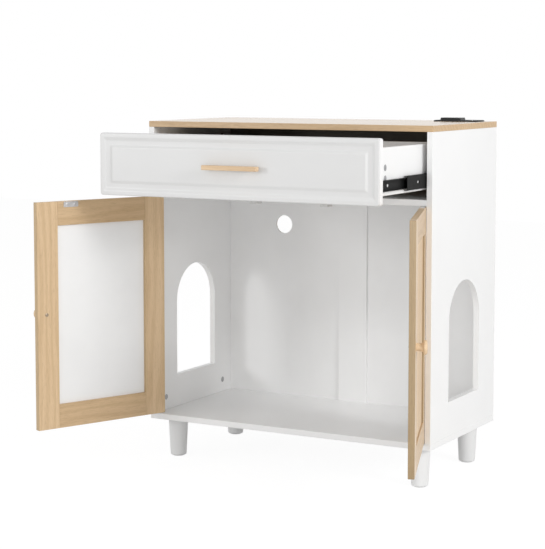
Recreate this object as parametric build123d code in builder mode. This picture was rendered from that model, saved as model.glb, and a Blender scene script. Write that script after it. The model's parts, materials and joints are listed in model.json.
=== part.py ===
from build123d import *
import os
from math import cos, radians, sin

# A litter box enclosure: a legged cabinet with a drawer over two doors and an arched
# entrance in each side. It is modelled as it stands in use, drawer pulled and doors open.
# X runs across, Y runs back, Z runs up from the floor. Lengths are in millimetres.

# Carcass
width = 800.0
depth = 410.0
body_height = 782.0
board = 15.0
front_plane_y = -35.0  # the origin lies under the middle of the opened object
drawer_bay = 162.0
arch_width = 195.0
arch_sill = 86.0
arch_straight = 195.0
edge_round = 1.0

# Back
back_panel = 5.0
back_recess = 15.0
groove_depth = 5.0
back_stile_width = 84.0
back_stile_thickness = 15.0
back_stile_proud = 4.5
cable_hole_diameter = 50.0
cable_hole_from_wall = 172.0
cable_hole_below_divider = 100.0

# Legs
leg_height = 103.0
leg_top_diameter = 52.5
leg_bottom_diameter = 42.0
leg_side_inset = 51.0
leg_end_inset = 55.0
leg_round = 4.0
glide_diameter = 30.0
glide_thickness = 1.5
leg_bolt_diameter = 8.0
leg_bolt_in_leg = 25.0
leg_bolt_in_board = 11.0

# Cam fittings that join the boards
cam_diameter = 15.0
cam_depth = 12.0
cam_reach = 34.0
cam_slot_width = 2.0
cam_slot_depth = 1.0
cam_bolt_diameter = 6.0
cam_bolt_grip = 11.0
cam_front_inset = 52.0
cam_back_inset = 66.0

# Drawer
drawer_open_share = 0.717  # of the slide's travel, as it stands
drawer_side_gap = 5.0
drawer_top_gap = 7.0
drawer_bottom_gap = 2.0
drawer_front_thickness = 18.0
drawer_front_round = 3.0
drawer_wall = 12.0
drawer_rise = 21.0
drawer_headroom = 29.0
drawer_bottom = 4.0
drawer_bottom_rise = 10.0
front_border = 15.0
front_groove = 4.0
front_outer_slope = 5.0
front_groove_floor = 8.0
front_field_slope = 4.0
drawer_cam_depth = 9.0
drawer_cam_reach = 29.0
drawer_cam_drop = 46.0
drawer_cam_pitch = 25.0
drawer_screw_length = 34.0
drawer_screw_diameter = 4.0
drawer_screw_pitch = 44.0
drawer_screw_rise_share = 0.66

# Drawer handle
handle_length = 150.0
handle_height = 11.5
handle_depth = 14.0
handle_standoff = 10.0
handle_foot = 14.0
handle_pitch = 96.0
handle_round = 2.0
handle_screw_diameter = 4.0
handle_screw_grip = 16.0

# Ball slides
slide_gap = 13.0
slide_setback = 2.0
slide_back_room = 20.0
slide_height = 45.0
slide_rise = 23.0
slide_sheet = 1.2
outer_reach = 9.5
middle_reach = 8.6
inner_reach = 8.2
outer_ball = 4.0
inner_ball = 2.7
ball_clearance = 0.15
cage_sheet = 0.5
cage_web_clearance = 0.3
cage_reach = 7.0
cage_hole_clearance = 0.1
cage_length_share = 0.28
cage_start_share = 0.29
balls_per_row = 5
slide_screw_diameter = 3.5
slide_screw_grip = 10.0
slide_screw_head = 7.0
slide_screw_flush = 0.8
slide_screw_pan = 2.2
slide_screw_shares = (0.1, 0.45, 0.9)
slide_slot_length = 14.0
slide_slot_width = 6.0
slide_slot_shares = (0.18, 0.4, 0.78)

# Doors
left_door_angle = 113.0  # degrees open, as it stands
right_door_angle = 110.5
door_gap = 4.0
door_end_gap = 2.0
door_thickness = 15.0
door_stile = 60.0
door_rail = 60.0
door_panel = 3.0
door_panel_recess = 4.0
door_groove = 8.0
door_round = 1.0
pivot_inset = 8.0
pivot_diameter = 6.0
pivot_in_door = 14.0
pivot_in_board = 8.0
pivot_plate_length = 36.0
pivot_plate_width = 11.0
pivot_plate = 0.8
bushing_wall = 1.5
bushing_depth = 9.0
bushing_flange = 2.5
bushing_flange_thickness = 1.0

# Door furniture
knob_from_edge = 25.5
knob_rise = 4.5  # above the middle of the door
knob_stem_diameter = 20.0
knob_stem_length = 16.0
knob_head_diameter = 33.0
knob_head_thickness = 10.0
knob_round = 3.0
knob_screw_diameter = 4.0
knob_screw_grip = 14.0
knob_screw_head = 9.0
knob_screw_head_thickness = 2.0
catch_from_middle = 100.0
catch_width = 20.0
catch_depth = 30.0
catch_height = 14.0
catch_pole = 2.5
catch_gap = 0.5
strike_length = 42.0
strike_height = 14.0
strike_thickness = 1.2
strike_from_top = 1.0
strike_round = 3.0

# Power module in the top
module_length = 120.5
module_width = 60.0
module_plate = 3.0
module_corner = 8.0
module_lip = 4.0
module_side_margin = 22.0
module_back_margin = 25.0
module_clearance = 6.0
outlet_length = 57.5
outlet_width = 38.0
outlet_height = 6.5
outlet_from_end = 14.5
outlet_taper = 18.0  # degrees
outlet_pitch = 27.0
outlet_depth = 4.0
blade_width = 2.2
blade_length = 7.5
blade_pitch = 12.7
ground_width = 5.0
ground_drop = 11.0
port_length = 9.0
port_width = 3.2
port_pitch = 16.0
port_depth = 2.0
gland_diameter = 12.0
gland_length = 9.0
gland_bore = 7.0

# Fits and cuts
fit_clearance = 0.1
groove_clearance = 0.2
running_clearance = 0.05
overrun = 5.0

# Heights and depths that follow
bottom_z = leg_height
floor_z = bottom_z + board
top_z = bottom_z + body_height
ceiling_z = top_z - board
divider_top_z = ceiling_z - drawer_bay
divider_z = divider_top_z - board
inner_half = width / 2 - board
back_y = depth - back_recess - back_panel
side_height = ceiling_z - floor_z
cam_depths = (cam_front_inset, depth - cam_back_inset)
leg_length = leg_height - glide_thickness
groove_width = back_panel + 2 * groove_clearance

# The drawer's place, pulled out by part of its travel
front_height = drawer_bay - drawer_top_gap - drawer_bottom_gap
front_width = 2 * (inner_half - drawer_side_gap)
front_z = divider_top_z + drawer_bottom_gap
slide_start = drawer_front_thickness + slide_setback
slide_length = back_y - slide_start - slide_back_room
pull = slide_length * drawer_open_share
drawer_y = -pull
front_back_y = drawer_y + drawer_front_thickness
drawer_z = front_z + drawer_rise
drawer_height = ceiling_z - drawer_headroom - drawer_z
drawer_half = inner_half - slide_gap
drawer_length = slide_length + slide_setback
drawer_end_y = front_back_y + drawer_length
drawer_back_y = drawer_end_y - drawer_wall
tray_z = drawer_z + drawer_bottom_rise
tray_groove = drawer_bottom + groove_clearance
handle_z = front_z + front_height / 2
handle_spots = [(-handle_pitch / 2, handle_z), (handle_pitch / 2, handle_z)]
drawer_cam_y = front_back_y + drawer_cam_reach
drawer_cam_heights = [drawer_z + drawer_height - drawer_cam_drop - n * drawer_cam_pitch for n in (0, 1)]
drawer_screw_y = drawer_back_y + drawer_wall / 2
drawer_screw_middle_z = drawer_z + drawer_height * drawer_screw_rise_share
drawer_screw_heights = [drawer_screw_middle_z + s * drawer_screw_pitch / 2 for s in (-1, 1)]

# Nested slide sections
slide_z = drawer_z + slide_rise
middle_height = slide_height - 2 * (slide_sheet + outer_ball + 2 * ball_clearance)
inner_height = middle_height - 2 * (slide_sheet + inner_ball + 2 * ball_clearance)
middle_start = slide_sheet + cage_sheet + 2 * cage_web_clearance
inner_start = slide_gap - inner_reach
cage_length = slide_length * cage_length_share
cage_start = slide_length * cage_start_share

# Doors and what they close against
door_width = (2 * inner_half - 3 * door_gap) / 2
door_height = divider_z - floor_z - 2 * door_end_gap
door_z = floor_z + door_end_gap
hinge_x = inner_half - door_gap - pivot_inset
hinge_y = door_thickness / 2
door_half = door_thickness / 2
free_edge = door_width - pivot_inset
panel_middle = -door_half + door_panel_recess + door_panel / 2
groove_thickness = door_panel + 2 * groove_clearance
bushing_radius = pivot_diameter / 2 + running_clearance + bushing_wall
flange_radius = bushing_radius + bushing_flange

# Radii of drilled holes
cam_bolt_hole = cam_bolt_diameter / 2 + fit_clearance
slide_screw_hole = slide_screw_diameter / 2 + fit_clearance
drawer_screw_hole = drawer_screw_diameter / 2 + fit_clearance
leg_bolt_hole = leg_bolt_diameter / 2 + fit_clearance
handle_screw_hole = handle_screw_diameter / 2 + fit_clearance
knob_screw_hole = knob_screw_diameter / 2 + fit_clearance
bushing_hole = bushing_radius + fit_clearance
cam_hole = cam_diameter / 2 + fit_clearance

# The module's place on the top
module_x = width / 2 - module_side_margin - module_length / 2
module_y = depth - module_back_margin - module_width / 2
housing_length = module_length - 2 * module_lip
housing_width = module_width - 2 * module_lip
housing_z = ceiling_z - (drawer_headroom - module_clearance)


def level(z: float) -> Plane:
    """The level plane at a height, with x across and y back from the front."""
    return Plane((0, front_plane_y, z))


def upright(y: float) -> Plane:
    """The upright plane at a depth, facing the front, with x across and y up."""
    return Plane((0, front_plane_y + y, 0), x_dir=(1, 0, 0), z_dir=(0, -1, 0))


def section(x: float) -> Plane:
    """The upright plane across x, facing +X, with x back from the front and y up."""
    return Plane((x, front_plane_y, 0), x_dir=(0, 1, 0), z_dir=(1, 0, 0))


def bars(plane: Plane, spots: list, radius: float, length: float, mode: Mode = Mode.ADD) -> None:
    """Adds or cuts round bars that stand on a plane at the given spots."""
    with BuildSketch(plane) as discs:
        with Locations(*spots):
            Circle(radius)
    extrude(discs.sketch, amount=length, mode=mode)


def block(plane: Plane, spot: tuple, size: tuple, length: float, mode: Mode = Mode.ADD) -> None:
    """Adds or cuts a rectangular bar that stands on a plane, centred on a spot."""
    with BuildSketch(plane) as outline:
        with Locations(spot):
            Rectangle(*size)
    extrude(outline.sketch, amount=length, mode=mode)


def save(piece: BuildPart, name: str) -> None:
    """Labels a finished piece and writes it under its name."""
    piece.part.label = name
    export_step(piece.part, f"parts/{name}.step")


os.makedirs("parts", exist_ok=True)
sides = (("left", -1), ("right", 1))

# Top board, grooved below for the upper back panel and cut through for the module
with BuildPart() as top_board:
    block(level(ceiling_z), (0, depth / 2), (width, depth), board)
    fillet(top_board.edges(), edge_round)
    block(level(ceiling_z - overrun), (0, back_y + back_panel / 2),
          (2 * (inner_half + groove_depth), groove_width), overrun + groove_depth, Mode.SUBTRACT)
    block(level(ceiling_z - overrun), (module_x, module_y),
          (housing_length, housing_width), board + 2 * overrun, Mode.SUBTRACT)
    for side, s in sides:
        spots = [(s * (width - board) / 2, y) for y in cam_depths]
        bars(level(ceiling_z), spots, cam_bolt_hole, cam_bolt_grip, Mode.SUBTRACT)
save(top_board, "top_board")

# Bottom board, grooved above for the lower back panels
with BuildPart() as bottom_board:
    block(level(bottom_z), (0, depth / 2), (width, depth), board)
    fillet(bottom_board.edges(), edge_round)
    block(level(floor_z - groove_depth), (0, back_y + back_panel / 2),
          (2 * (inner_half + groove_depth), groove_width), groove_depth + overrun, Mode.SUBTRACT)
    for side, s in sides:
        spots = [(s * (width - board) / 2, y) for y in cam_depths]
        bars(level(floor_z), spots, cam_bolt_hole, -cam_bolt_grip, Mode.SUBTRACT)
        bars(level(floor_z), [(s * hinge_x, hinge_y)], bushing_hole,
             -bushing_depth, Mode.SUBTRACT)
        leg_spots = [(s * (width / 2 - leg_side_inset), y) for y in (leg_end_inset, depth - leg_end_inset)]
        bars(level(bottom_z), leg_spots, leg_bolt_hole,
             leg_bolt_in_board, Mode.SUBTRACT)
save(bottom_board, "bottom_board")

# Divider under the drawer, held to the side panels by cams in its underside
with BuildPart() as divider_board:
    block(level(divider_z), (0, (back_y - groove_clearance) / 2),
          (2 * inner_half, back_y - groove_clearance), board)
    fillet(divider_board.edges().filter_by(Axis.X), edge_round)
    for side, s in sides:
        cam_spots = [(s * (inner_half - cam_reach), y) for y in cam_depths]
        bars(level(divider_z), cam_spots, cam_hole, cam_depth, Mode.SUBTRACT)
        bolt_spots = [(y, divider_z + board / 2) for y in cam_depths]
        bars(section(s * inner_half), bolt_spots, cam_bolt_hole,
             -s * cam_reach, Mode.SUBTRACT)
        bars(level(divider_z), [(s * hinge_x, hinge_y)], bushing_hole,
             bushing_depth, Mode.SUBTRACT)
save(divider_board, "divider_board")

# Side panels between the boards, each with its arch
for side, s in sides:
    with BuildPart() as side_panel:
        inner_face = section(s * inner_half)
        block(inner_face, (depth / 2, floor_z + side_height / 2), (depth, side_height), s * board)
        fillet(side_panel.edges(), edge_round)
        with BuildSketch(section(s * inner_half - s * overrun)) as arch:
            with Locations((depth / 2, floor_z + arch_sill + arch_straight / 2)):
                Rectangle(arch_width, arch_straight)
            with Locations((depth / 2, floor_z + arch_sill + arch_straight)):
                Circle(arch_width / 2)
        extrude(arch.sketch, amount=s * (board + 2 * overrun), mode=Mode.SUBTRACT)
        block(section(s * (inner_half - overrun)), (back_y + back_panel / 2, floor_z + side_height / 2),
              (groove_width, side_height + 2 * overrun), s * (overrun + groove_depth), Mode.SUBTRACT)
        cam_spots = [(y, z) for y in cam_depths for z in (floor_z + cam_reach, ceiling_z - cam_reach)]
        bars(inner_face, cam_spots, cam_hole, s * cam_depth, Mode.SUBTRACT)
        middle_spots = [(s * (width - board) / 2, y) for y in cam_depths]
        bars(level(floor_z), middle_spots, cam_bolt_hole, cam_reach, Mode.SUBTRACT)
        bars(level(ceiling_z), middle_spots, cam_bolt_hole, -cam_reach, Mode.SUBTRACT)
        divider_spots = [(y, divider_z + board / 2) for y in cam_depths]
        bars(inner_face, divider_spots, cam_bolt_hole, s * cam_bolt_grip, Mode.SUBTRACT)
        screw_spots = [(slide_start + slide_length * share, slide_z) for share in slide_screw_shares]
        bars(inner_face, screw_spots, slide_screw_hole,
             s * slide_screw_grip, Mode.SUBTRACT)
    save(side_panel, f"{side}_side_panel")

# Back: two lower panels in grooves, the stile between them and the panel behind the drawer
panel_seam_z = divider_z
for side, s in sides:
    with BuildPart() as lower_panel:
        inner_edge = back_stile_width / 2 - groove_depth + groove_clearance
        outer_edge = inner_half + groove_depth - groove_clearance
        low_edge = floor_z - groove_depth
        block(upright(back_y), (s * (inner_edge + outer_edge) / 2, (low_edge + panel_seam_z) / 2),
              (outer_edge - inner_edge, panel_seam_z - low_edge), -back_panel)
        if side == "left":
            hole_spot = (s * (inner_half - cable_hole_from_wall), divider_z - cable_hole_below_divider)
            bars(upright(back_y - overrun), [hole_spot], cable_hole_diameter / 2,
                 -back_panel - 2 * overrun, Mode.SUBTRACT)
    save(lower_panel, f"{side}_back_panel")

with BuildPart() as upper_back_panel:
    high_edge = ceiling_z + groove_depth - groove_clearance
    block(upright(back_y), (0, (panel_seam_z + high_edge) / 2),
          (2 * (inner_half + groove_depth - groove_clearance), high_edge - panel_seam_z), -back_panel)
save(upper_back_panel, "upper_back_panel")

with BuildPart() as back_stile:
    stile_height = divider_z - floor_z
    block(upright(back_y - back_stile_proud), (0, floor_z + stile_height / 2),
          (back_stile_width, stile_height), -back_stile_thickness)
    fillet(back_stile.edges().filter_by(Axis.Z), edge_round)
    for side, s in sides:
        groove_spot = (back_y + back_panel / 2, floor_z + stile_height / 2)
        block(section(s * (back_stile_width / 2 + overrun)), groove_spot,
              (groove_width, stile_height + 2 * overrun), -s * (overrun + groove_depth), Mode.SUBTRACT)
save(back_stile, "back_stile")

# Legs, each turned to a taper and drilled for its bolt
leg_rows = (("front", leg_end_inset), ("back", depth - leg_end_inset))
leg_x = width / 2 - leg_side_inset
leg_places = [(f"{row}_{side}", s * leg_x, y) for row, y in leg_rows for side, s in sides]
for place, x, y in leg_places:
    with BuildPart(Plane((x, front_plane_y + y, glide_thickness))) as leg:
        Cone(leg_bottom_diameter / 2, leg_top_diameter / 2, leg_length,
             align=(Align.CENTER, Align.CENTER, Align.MIN))
        fillet(leg.edges().group_by(Axis.Z)[0], leg_round)
        bars(level(leg_height), [(x, y)], leg_bolt_hole, -leg_bolt_in_leg, Mode.SUBTRACT)
    save(leg, f"{place}_leg")

with BuildPart() as leg_bolts:
    leg_spots = [(x, y) for place, x, y in leg_places]
    bars(level(leg_height - leg_bolt_in_leg), leg_spots, leg_bolt_diameter / 2,
         leg_bolt_in_leg + leg_bolt_in_board)
save(leg_bolts, "leg_bolts")

with BuildPart() as leg_glides:
    bars(level(0), leg_spots, glide_diameter / 2, glide_thickness)
save(leg_glides, "leg_glides")

# Cam fittings of the carcass: cams in the side panels and the divider, bolts between boards
with BuildPart() as cabinet_cam_locks:
    for side, s in sides:
        cam_spots = [(y, z) for y in cam_depths for z in (floor_z + cam_reach, ceiling_z - cam_reach)]
        bars(section(s * inner_half), cam_spots, cam_diameter / 2, s * cam_depth)
        for y, z in cam_spots:
            block(section(s * inner_half), (y, z), (cam_diameter / 2, cam_slot_width),
                  s * cam_slot_depth, Mode.SUBTRACT)
        divider_spots = [(s * (inner_half - cam_reach), y) for y in cam_depths]
        bars(level(divider_z), divider_spots, cam_diameter / 2, cam_depth)
        for spot in divider_spots:
            block(level(divider_z), spot, (cam_diameter / 2, cam_slot_width), cam_slot_depth, Mode.SUBTRACT)
save(cabinet_cam_locks, "cabinet_cam_locks")

with BuildPart() as cabinet_cam_bolts:
    bolt_length = cam_bolt_grip + cam_reach - cam_diameter / 2 - fit_clearance
    for side, s in sides:
        bolt_spots = [(s * (width - board) / 2, y) for y in cam_depths]
        bars(level(floor_z - cam_bolt_grip), bolt_spots, cam_bolt_diameter / 2, bolt_length)
        bars(level(ceiling_z + cam_bolt_grip), bolt_spots, cam_bolt_diameter / 2, -bolt_length)
        divider_spots = [(y, divider_z + board / 2) for y in cam_depths]
        bars(section(s * (inner_half + cam_bolt_grip)), divider_spots, cam_bolt_diameter / 2,
             -s * bolt_length)
save(cabinet_cam_bolts, "cabinet_cam_bolts")

# Bushings for the door pivots, flanged, below and above each hinge edge
with BuildPart() as pivot_bushings:
    for side, s in sides:
        for z, up in ((floor_z, 1), (divider_z, -1)):
            spot = [(s * hinge_x, hinge_y)]
            bars(level(z), spot, bushing_radius, -up * bushing_depth)
            bars(level(z), spot, flange_radius, up * bushing_flange_thickness)
            bars(level(z + up * bushing_flange_thickness), spot, pivot_diameter / 2 + running_clearance,
                 -up * (bushing_flange_thickness + pivot_in_board + running_clearance), Mode.SUBTRACT)
save(pivot_bushings, "pivot_bushings")

# Magnetic catches under the divider, each with two pole plates standing a little proud
for side, s in sides:
    with BuildPart() as catch:
        catch_front = door_thickness + strike_thickness + catch_gap
        case_depth = catch_depth - catch_pole
        block(level(divider_z), (s * catch_from_middle, catch_front + catch_pole + case_depth / 2),
              (catch_width, case_depth), -catch_height)
        fillet(catch.edges().filter_by(Axis.Y), edge_round)
        for n in (-1, 1):
            pole_x = s * catch_from_middle + n * catch_width / 4
            block(upright(catch_front), (pole_x, divider_z - catch_height / 2),
                  (catch_pole, catch_height - 2 * catch_pole), -catch_pole)
    save(catch, f"{side}_magnetic_catch")


def channel(start: float, reach: float, height: float, first: float, length: float, s: int, web: int) -> None:
    """Adds a channel section that runs back from a depth.

    It spans from start to start plus reach, counted from the side panel towards the middle.
    Its web lies on the panel's side for web 1 and on the drawer's side for web -1.
    """
    middle = s * (inner_half - start - reach / 2)
    with BuildSketch(upright(first)) as profile:
        with Locations((middle, slide_z)):
            RectangleRounded(reach, height, slide_sheet / 2)
        with Locations((middle - s * web * slide_sheet, slide_z)):
            Rectangle(reach, height - 2 * slide_sheet, mode=Mode.SUBTRACT)
    extrude(profile.sketch, amount=-length)


def web_slots(web_start: float, first: float, s: int) -> None:
    """Cuts the long holes that a slide's web carries."""
    with BuildSketch(section(s * (inner_half - web_start + overrun))) as slots:
        for share in slide_slot_shares:
            with Locations((first + slide_length * share, slide_z)):
                SlotOverall(slide_slot_length, slide_slot_width)
    extrude(slots.sketch, amount=-s * (overrun + slide_sheet + overrun / 2), mode=Mode.SUBTRACT)


# Slides: the cabinet member on the panel, the middle member half way out, the drawer member
middle_first = slide_start - pull / 2
inner_first = front_back_y + slide_setback
for side, s in sides:
    with BuildPart() as outer_member:
        channel(0, outer_reach, slide_height, slide_start, slide_length, s, 1)
        screw_spots = [(slide_start + slide_length * share, slide_z) for share in slide_screw_shares]
        bars(section(s * inner_half), screw_spots, slide_screw_hole,
             -s * slide_sheet, Mode.SUBTRACT)
        bars(section(s * (inner_half - slide_sheet)), screw_spots, slide_screw_head / 2 + fit_clearance,
             s * slide_screw_flush, Mode.SUBTRACT)
    save(outer_member, f"{side}_slide_cabinet_member")

    with BuildPart() as middle_member:
        channel(middle_start, middle_reach, middle_height, middle_first, slide_length, s, 1)
        web_slots(middle_start, middle_first, s)
    save(middle_member, f"{side}_slide_middle_member")

    with BuildPart() as inner_member:
        channel(inner_start, inner_reach, inner_height, inner_first, slide_length, s, -1)
        screw_spots = [(inner_first + slide_length * share, slide_z) for share in slide_screw_shares]
        bars(section(s * drawer_half), screw_spots, slide_screw_hole,
             s * (slide_sheet + overrun), Mode.SUBTRACT)
    save(inner_member, f"{side}_slide_drawer_member")

with BuildPart() as cabinet_slide_screws:
    for side, s in sides:
        screw_spots = [(slide_start + slide_length * share, slide_z) for share in slide_screw_shares]
        head_face = inner_half - slide_sheet
        bars(section(s * head_face), screw_spots, slide_screw_head / 2, s * slide_screw_flush)
        bars(section(s * head_face), screw_spots, slide_screw_diameter / 2,
             s * (slide_sheet + slide_screw_grip))
save(cabinet_slide_screws, "cabinet_slide_screws")

with BuildPart() as drawer_slide_screws:
    for side, s in sides:
        screw_spots = [(inner_first + slide_length * share, slide_z) for share in slide_screw_shares]
        head_face = drawer_half + slide_sheet
        bars(section(s * head_face), screw_spots, slide_screw_head / 2, s * slide_screw_pan)
        bars(section(s * head_face), screw_spots, slide_screw_diameter / 2,
             -s * (slide_sheet + slide_screw_grip))
save(drawer_slide_screws, "drawer_slide_screws")


def ball_cage(start: float, height: float, ball: float, first: float, s: int) -> None:
    """Adds a bent strip that keeps a row of balls above and below a slide section, with the balls."""
    ball_z = height / 2 + ball_clearance + ball / 2
    cage_height = 2 * ball_z + cage_sheet
    middle = s * (inner_half - start - cage_reach / 2)
    with BuildSketch(upright(first)) as profile:
        with Locations((middle, slide_z)):
            Rectangle(cage_reach, cage_height)
        with Locations((middle - s * cage_sheet, slide_z)):
            Rectangle(cage_reach, cage_height - 2 * cage_sheet, mode=Mode.SUBTRACT)
    extrude(profile.sketch, amount=-cage_length)
    row_x = s * (inner_half - start - cage_reach / 2 - cage_sheet)
    step = cage_length / balls_per_row
    spots = [(row_x, first + step / 2 + step * n) for n in range(balls_per_row)]
    bars(level(slide_z - cage_height), spots, ball / 2 + cage_hole_clearance, 2 * cage_height, Mode.SUBTRACT)
    places = [(x, front_plane_y + y, slide_z + n * ball_z) for x, y in spots for n in (-1, 1)]
    with Locations(*places):
        Sphere(ball / 2)


# Ball cages travel half as far as the section that rolls on them
cage_kinds = (("outer", slide_sheet + cage_web_clearance, middle_height, outer_ball, slide_start - pull / 4),
              ("inner", middle_start + slide_sheet + cage_web_clearance, inner_height, inner_ball,
               slide_start - pull * 3 / 4))
for kind, start, height, ball, first in cage_kinds:
    with BuildPart() as cages:
        for side, s in sides:
            ball_cage(start, height, ball, first + cage_start, s)
    save(cages, f"{kind}_ball_cages")

# Drawer front: a border, a groove with sloped sides and a raised field
with BuildPart() as drawer_front:
    front_middle = (0, front_z + front_height / 2)
    block(upright(drawer_y), front_middle, (front_width, front_height), -drawer_front_thickness)
    fillet(drawer_front.edges().filter_by(Axis.Y), drawer_front_round)
    fillet(drawer_front.faces().sort_by(Axis.Y)[0].edges(), drawer_front_round / 2)
    pocket_width = front_width - 2 * front_border
    pocket_height = front_height - 2 * front_border
    with BuildSketch(upright(drawer_y)) as pocket:
        with Locations(front_middle):
            Rectangle(pocket_width, pocket_height)
    with BuildSketch(upright(drawer_y + front_groove)) as pocket_floor:
        with Locations(front_middle):
            Rectangle(pocket_width - 2 * front_outer_slope, pocket_height - 2 * front_outer_slope)
    loft([pocket.sketch.face(), pocket_floor.sketch.face()], mode=Mode.SUBTRACT)
    field_inset = front_outer_slope + front_groove_floor
    with BuildSketch(upright(drawer_y + front_groove)) as field_foot:
        with Locations(front_middle):
            Rectangle(pocket_width - 2 * field_inset, pocket_height - 2 * field_inset)
    with BuildSketch(upright(drawer_y)) as field:
        with Locations(front_middle):
            Rectangle(pocket_width - 2 * (field_inset + front_field_slope),
                      pocket_height - 2 * (field_inset + front_field_slope))
    loft([field_foot.sketch.face(), field.sketch.face()])
    block(upright(front_back_y - groove_depth), (0, tray_z + tray_groove / 2),
          (2 * (drawer_half - drawer_wall + groove_depth), tray_groove),
          -groove_depth - overrun, Mode.SUBTRACT)
    bars(upright(drawer_y - overrun), handle_spots, handle_screw_hole,
         -drawer_front_thickness - 2 * overrun, Mode.SUBTRACT)
    for side, s in sides:
        bolt_spots = [(s * (drawer_half - drawer_wall / 2), z) for z in drawer_cam_heights]
        bars(upright(front_back_y), bolt_spots, cam_bolt_hole, cam_bolt_grip, Mode.SUBTRACT)
save(drawer_front, "drawer_front")

# Drawer sides, grooved for the bottom and drilled for their fittings
for side, s in sides:
    with BuildPart() as drawer_side:
        outer_face = section(s * drawer_half)
        side_middle = (front_back_y + drawer_length / 2, drawer_z + drawer_height / 2)
        block(outer_face, side_middle, (drawer_length, drawer_height), -s * drawer_wall)
        fillet(drawer_side.edges().filter_by(Axis.Y), edge_round)
        block(section(s * (drawer_half - drawer_wall - overrun)), (side_middle[0], tray_z + tray_groove / 2),
              (drawer_length + 2 * overrun, tray_groove), s * (overrun + groove_depth), Mode.SUBTRACT)
        cam_spots = [(drawer_cam_y, z) for z in drawer_cam_heights]
        bars(outer_face, cam_spots, cam_hole, -s * drawer_cam_depth, Mode.SUBTRACT)
        bolt_spots = [(s * (drawer_half - drawer_wall / 2), z) for z in drawer_cam_heights]
        bars(upright(front_back_y), bolt_spots, cam_bolt_hole,
             -drawer_cam_reach, Mode.SUBTRACT)
        screw_spots = [(inner_first + slide_length * share, slide_z) for share in slide_screw_shares]
        bars(outer_face, screw_spots, slide_screw_hole, -s * slide_screw_grip, Mode.SUBTRACT)
        back_spots = [(drawer_screw_y, z) for z in drawer_screw_heights]
        bars(outer_face, back_spots, drawer_screw_hole, -s * drawer_wall, Mode.SUBTRACT)
    save(drawer_side, f"drawer_{side}_side")

with BuildPart() as drawer_back:
    back_width = 2 * (drawer_half - drawer_wall)
    block(upright(drawer_back_y), (0, drawer_z + drawer_height / 2),
          (back_width, drawer_height), -drawer_wall)
    fillet(drawer_back.edges().filter_by(Axis.X), edge_round)
    block(upright(drawer_back_y - overrun), (0, tray_z + tray_groove / 2),
          (back_width + 2 * overrun, tray_groove), -overrun - groove_depth, Mode.SUBTRACT)
    for side, s in sides:
        back_spots = [(drawer_screw_y, z) for z in drawer_screw_heights]
        bars(section(s * back_width / 2), back_spots, drawer_screw_hole,
             -s * (drawer_screw_length - drawer_wall), Mode.SUBTRACT)
save(drawer_back, "drawer_back")

with BuildPart() as drawer_tray:
    tray_grip = groove_depth - groove_clearance
    tray_first = front_back_y - tray_grip
    tray_length = drawer_back_y + tray_grip - tray_first
    block(level(tray_z), (0, tray_first + tray_length / 2),
          (back_width + 2 * tray_grip, tray_length), drawer_bottom)
save(drawer_tray, "drawer_bottom")

with BuildPart() as drawer_cam_locks:
    for side, s in sides:
        cam_spots = [(drawer_cam_y, z) for z in drawer_cam_heights]
        bars(section(s * drawer_half), cam_spots, cam_diameter / 2, -s * drawer_cam_depth)
        for spot in cam_spots:
            block(section(s * drawer_half), spot, (cam_slot_width, cam_diameter / 2),
                  -s * cam_slot_depth, Mode.SUBTRACT)
save(drawer_cam_locks, "drawer_cam_locks")

with BuildPart() as drawer_cam_bolts:
    drawer_bolt_length = cam_bolt_grip + drawer_cam_reach - cam_diameter / 2 - fit_clearance
    for side, s in sides:
        bolt_spots = [(s * (drawer_half - drawer_wall / 2), z) for z in drawer_cam_heights]
        bars(upright(front_back_y - cam_bolt_grip), bolt_spots, cam_bolt_diameter / 2, -drawer_bolt_length)
save(drawer_cam_bolts, "drawer_cam_bolts")

# Handle: one oak piece, a bar on two feet
with BuildPart() as drawer_handle:
    bar_face = drawer_y - handle_standoff
    block(upright(bar_face), (0, handle_z), (handle_length, handle_height), handle_depth)
    fillet(drawer_handle.edges(), handle_round)
    for x, z in handle_spots:
        block(upright(drawer_y), (x, z), (handle_foot, handle_height - 2 * handle_round),
              handle_standoff + handle_depth / 2)
    bars(upright(drawer_y + overrun), handle_spots, handle_screw_hole,
         overrun + handle_screw_grip, Mode.SUBTRACT)
save(drawer_handle, "drawer_handle")

# Screws of the drawer: two hold the handle from inside, four hold the back between the sides
with BuildPart() as drawer_screws:
    bars(upright(front_back_y), handle_spots, handle_screw_diameter / 2,
         drawer_front_thickness + handle_screw_grip - fit_clearance)
    bars(upright(front_back_y), handle_spots, handle_screw_diameter, -handle_screw_diameter / 2)
    for side, s in sides:
        back_spots = [(drawer_screw_y, z) for z in drawer_screw_heights]
        bars(section(s * drawer_half), back_spots, drawer_screw_diameter / 2, -s * drawer_screw_length)
save(drawer_screws, "drawer_screws")



def door_level(s: int, z: float) -> Plane:
    """The level plane at a height above a door's lower edge.

    Its x runs from the pivot to the free edge. Its y runs inwards on the left door and
    outwards on the right one.
    """
    angle = radians(right_door_angle if s > 0 else left_door_angle)
    swing = (-s * cos(angle), -sin(angle), 0)
    return Plane((s * hinge_x, front_plane_y + hinge_y, door_z + z), x_dir=swing, z_dir=(0, 0, 1))


def door_face(s: int, y: float) -> Plane:
    """The plane along a door at a depth inwards from its middle, with x as above and y up.

    It faces outwards on the left door and inwards on the right one.
    """
    flat = door_level(s, 0)
    return Plane(flat.origin - flat.y_dir * (s * y), x_dir=flat.x_dir, z_dir=-flat.y_dir)


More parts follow.
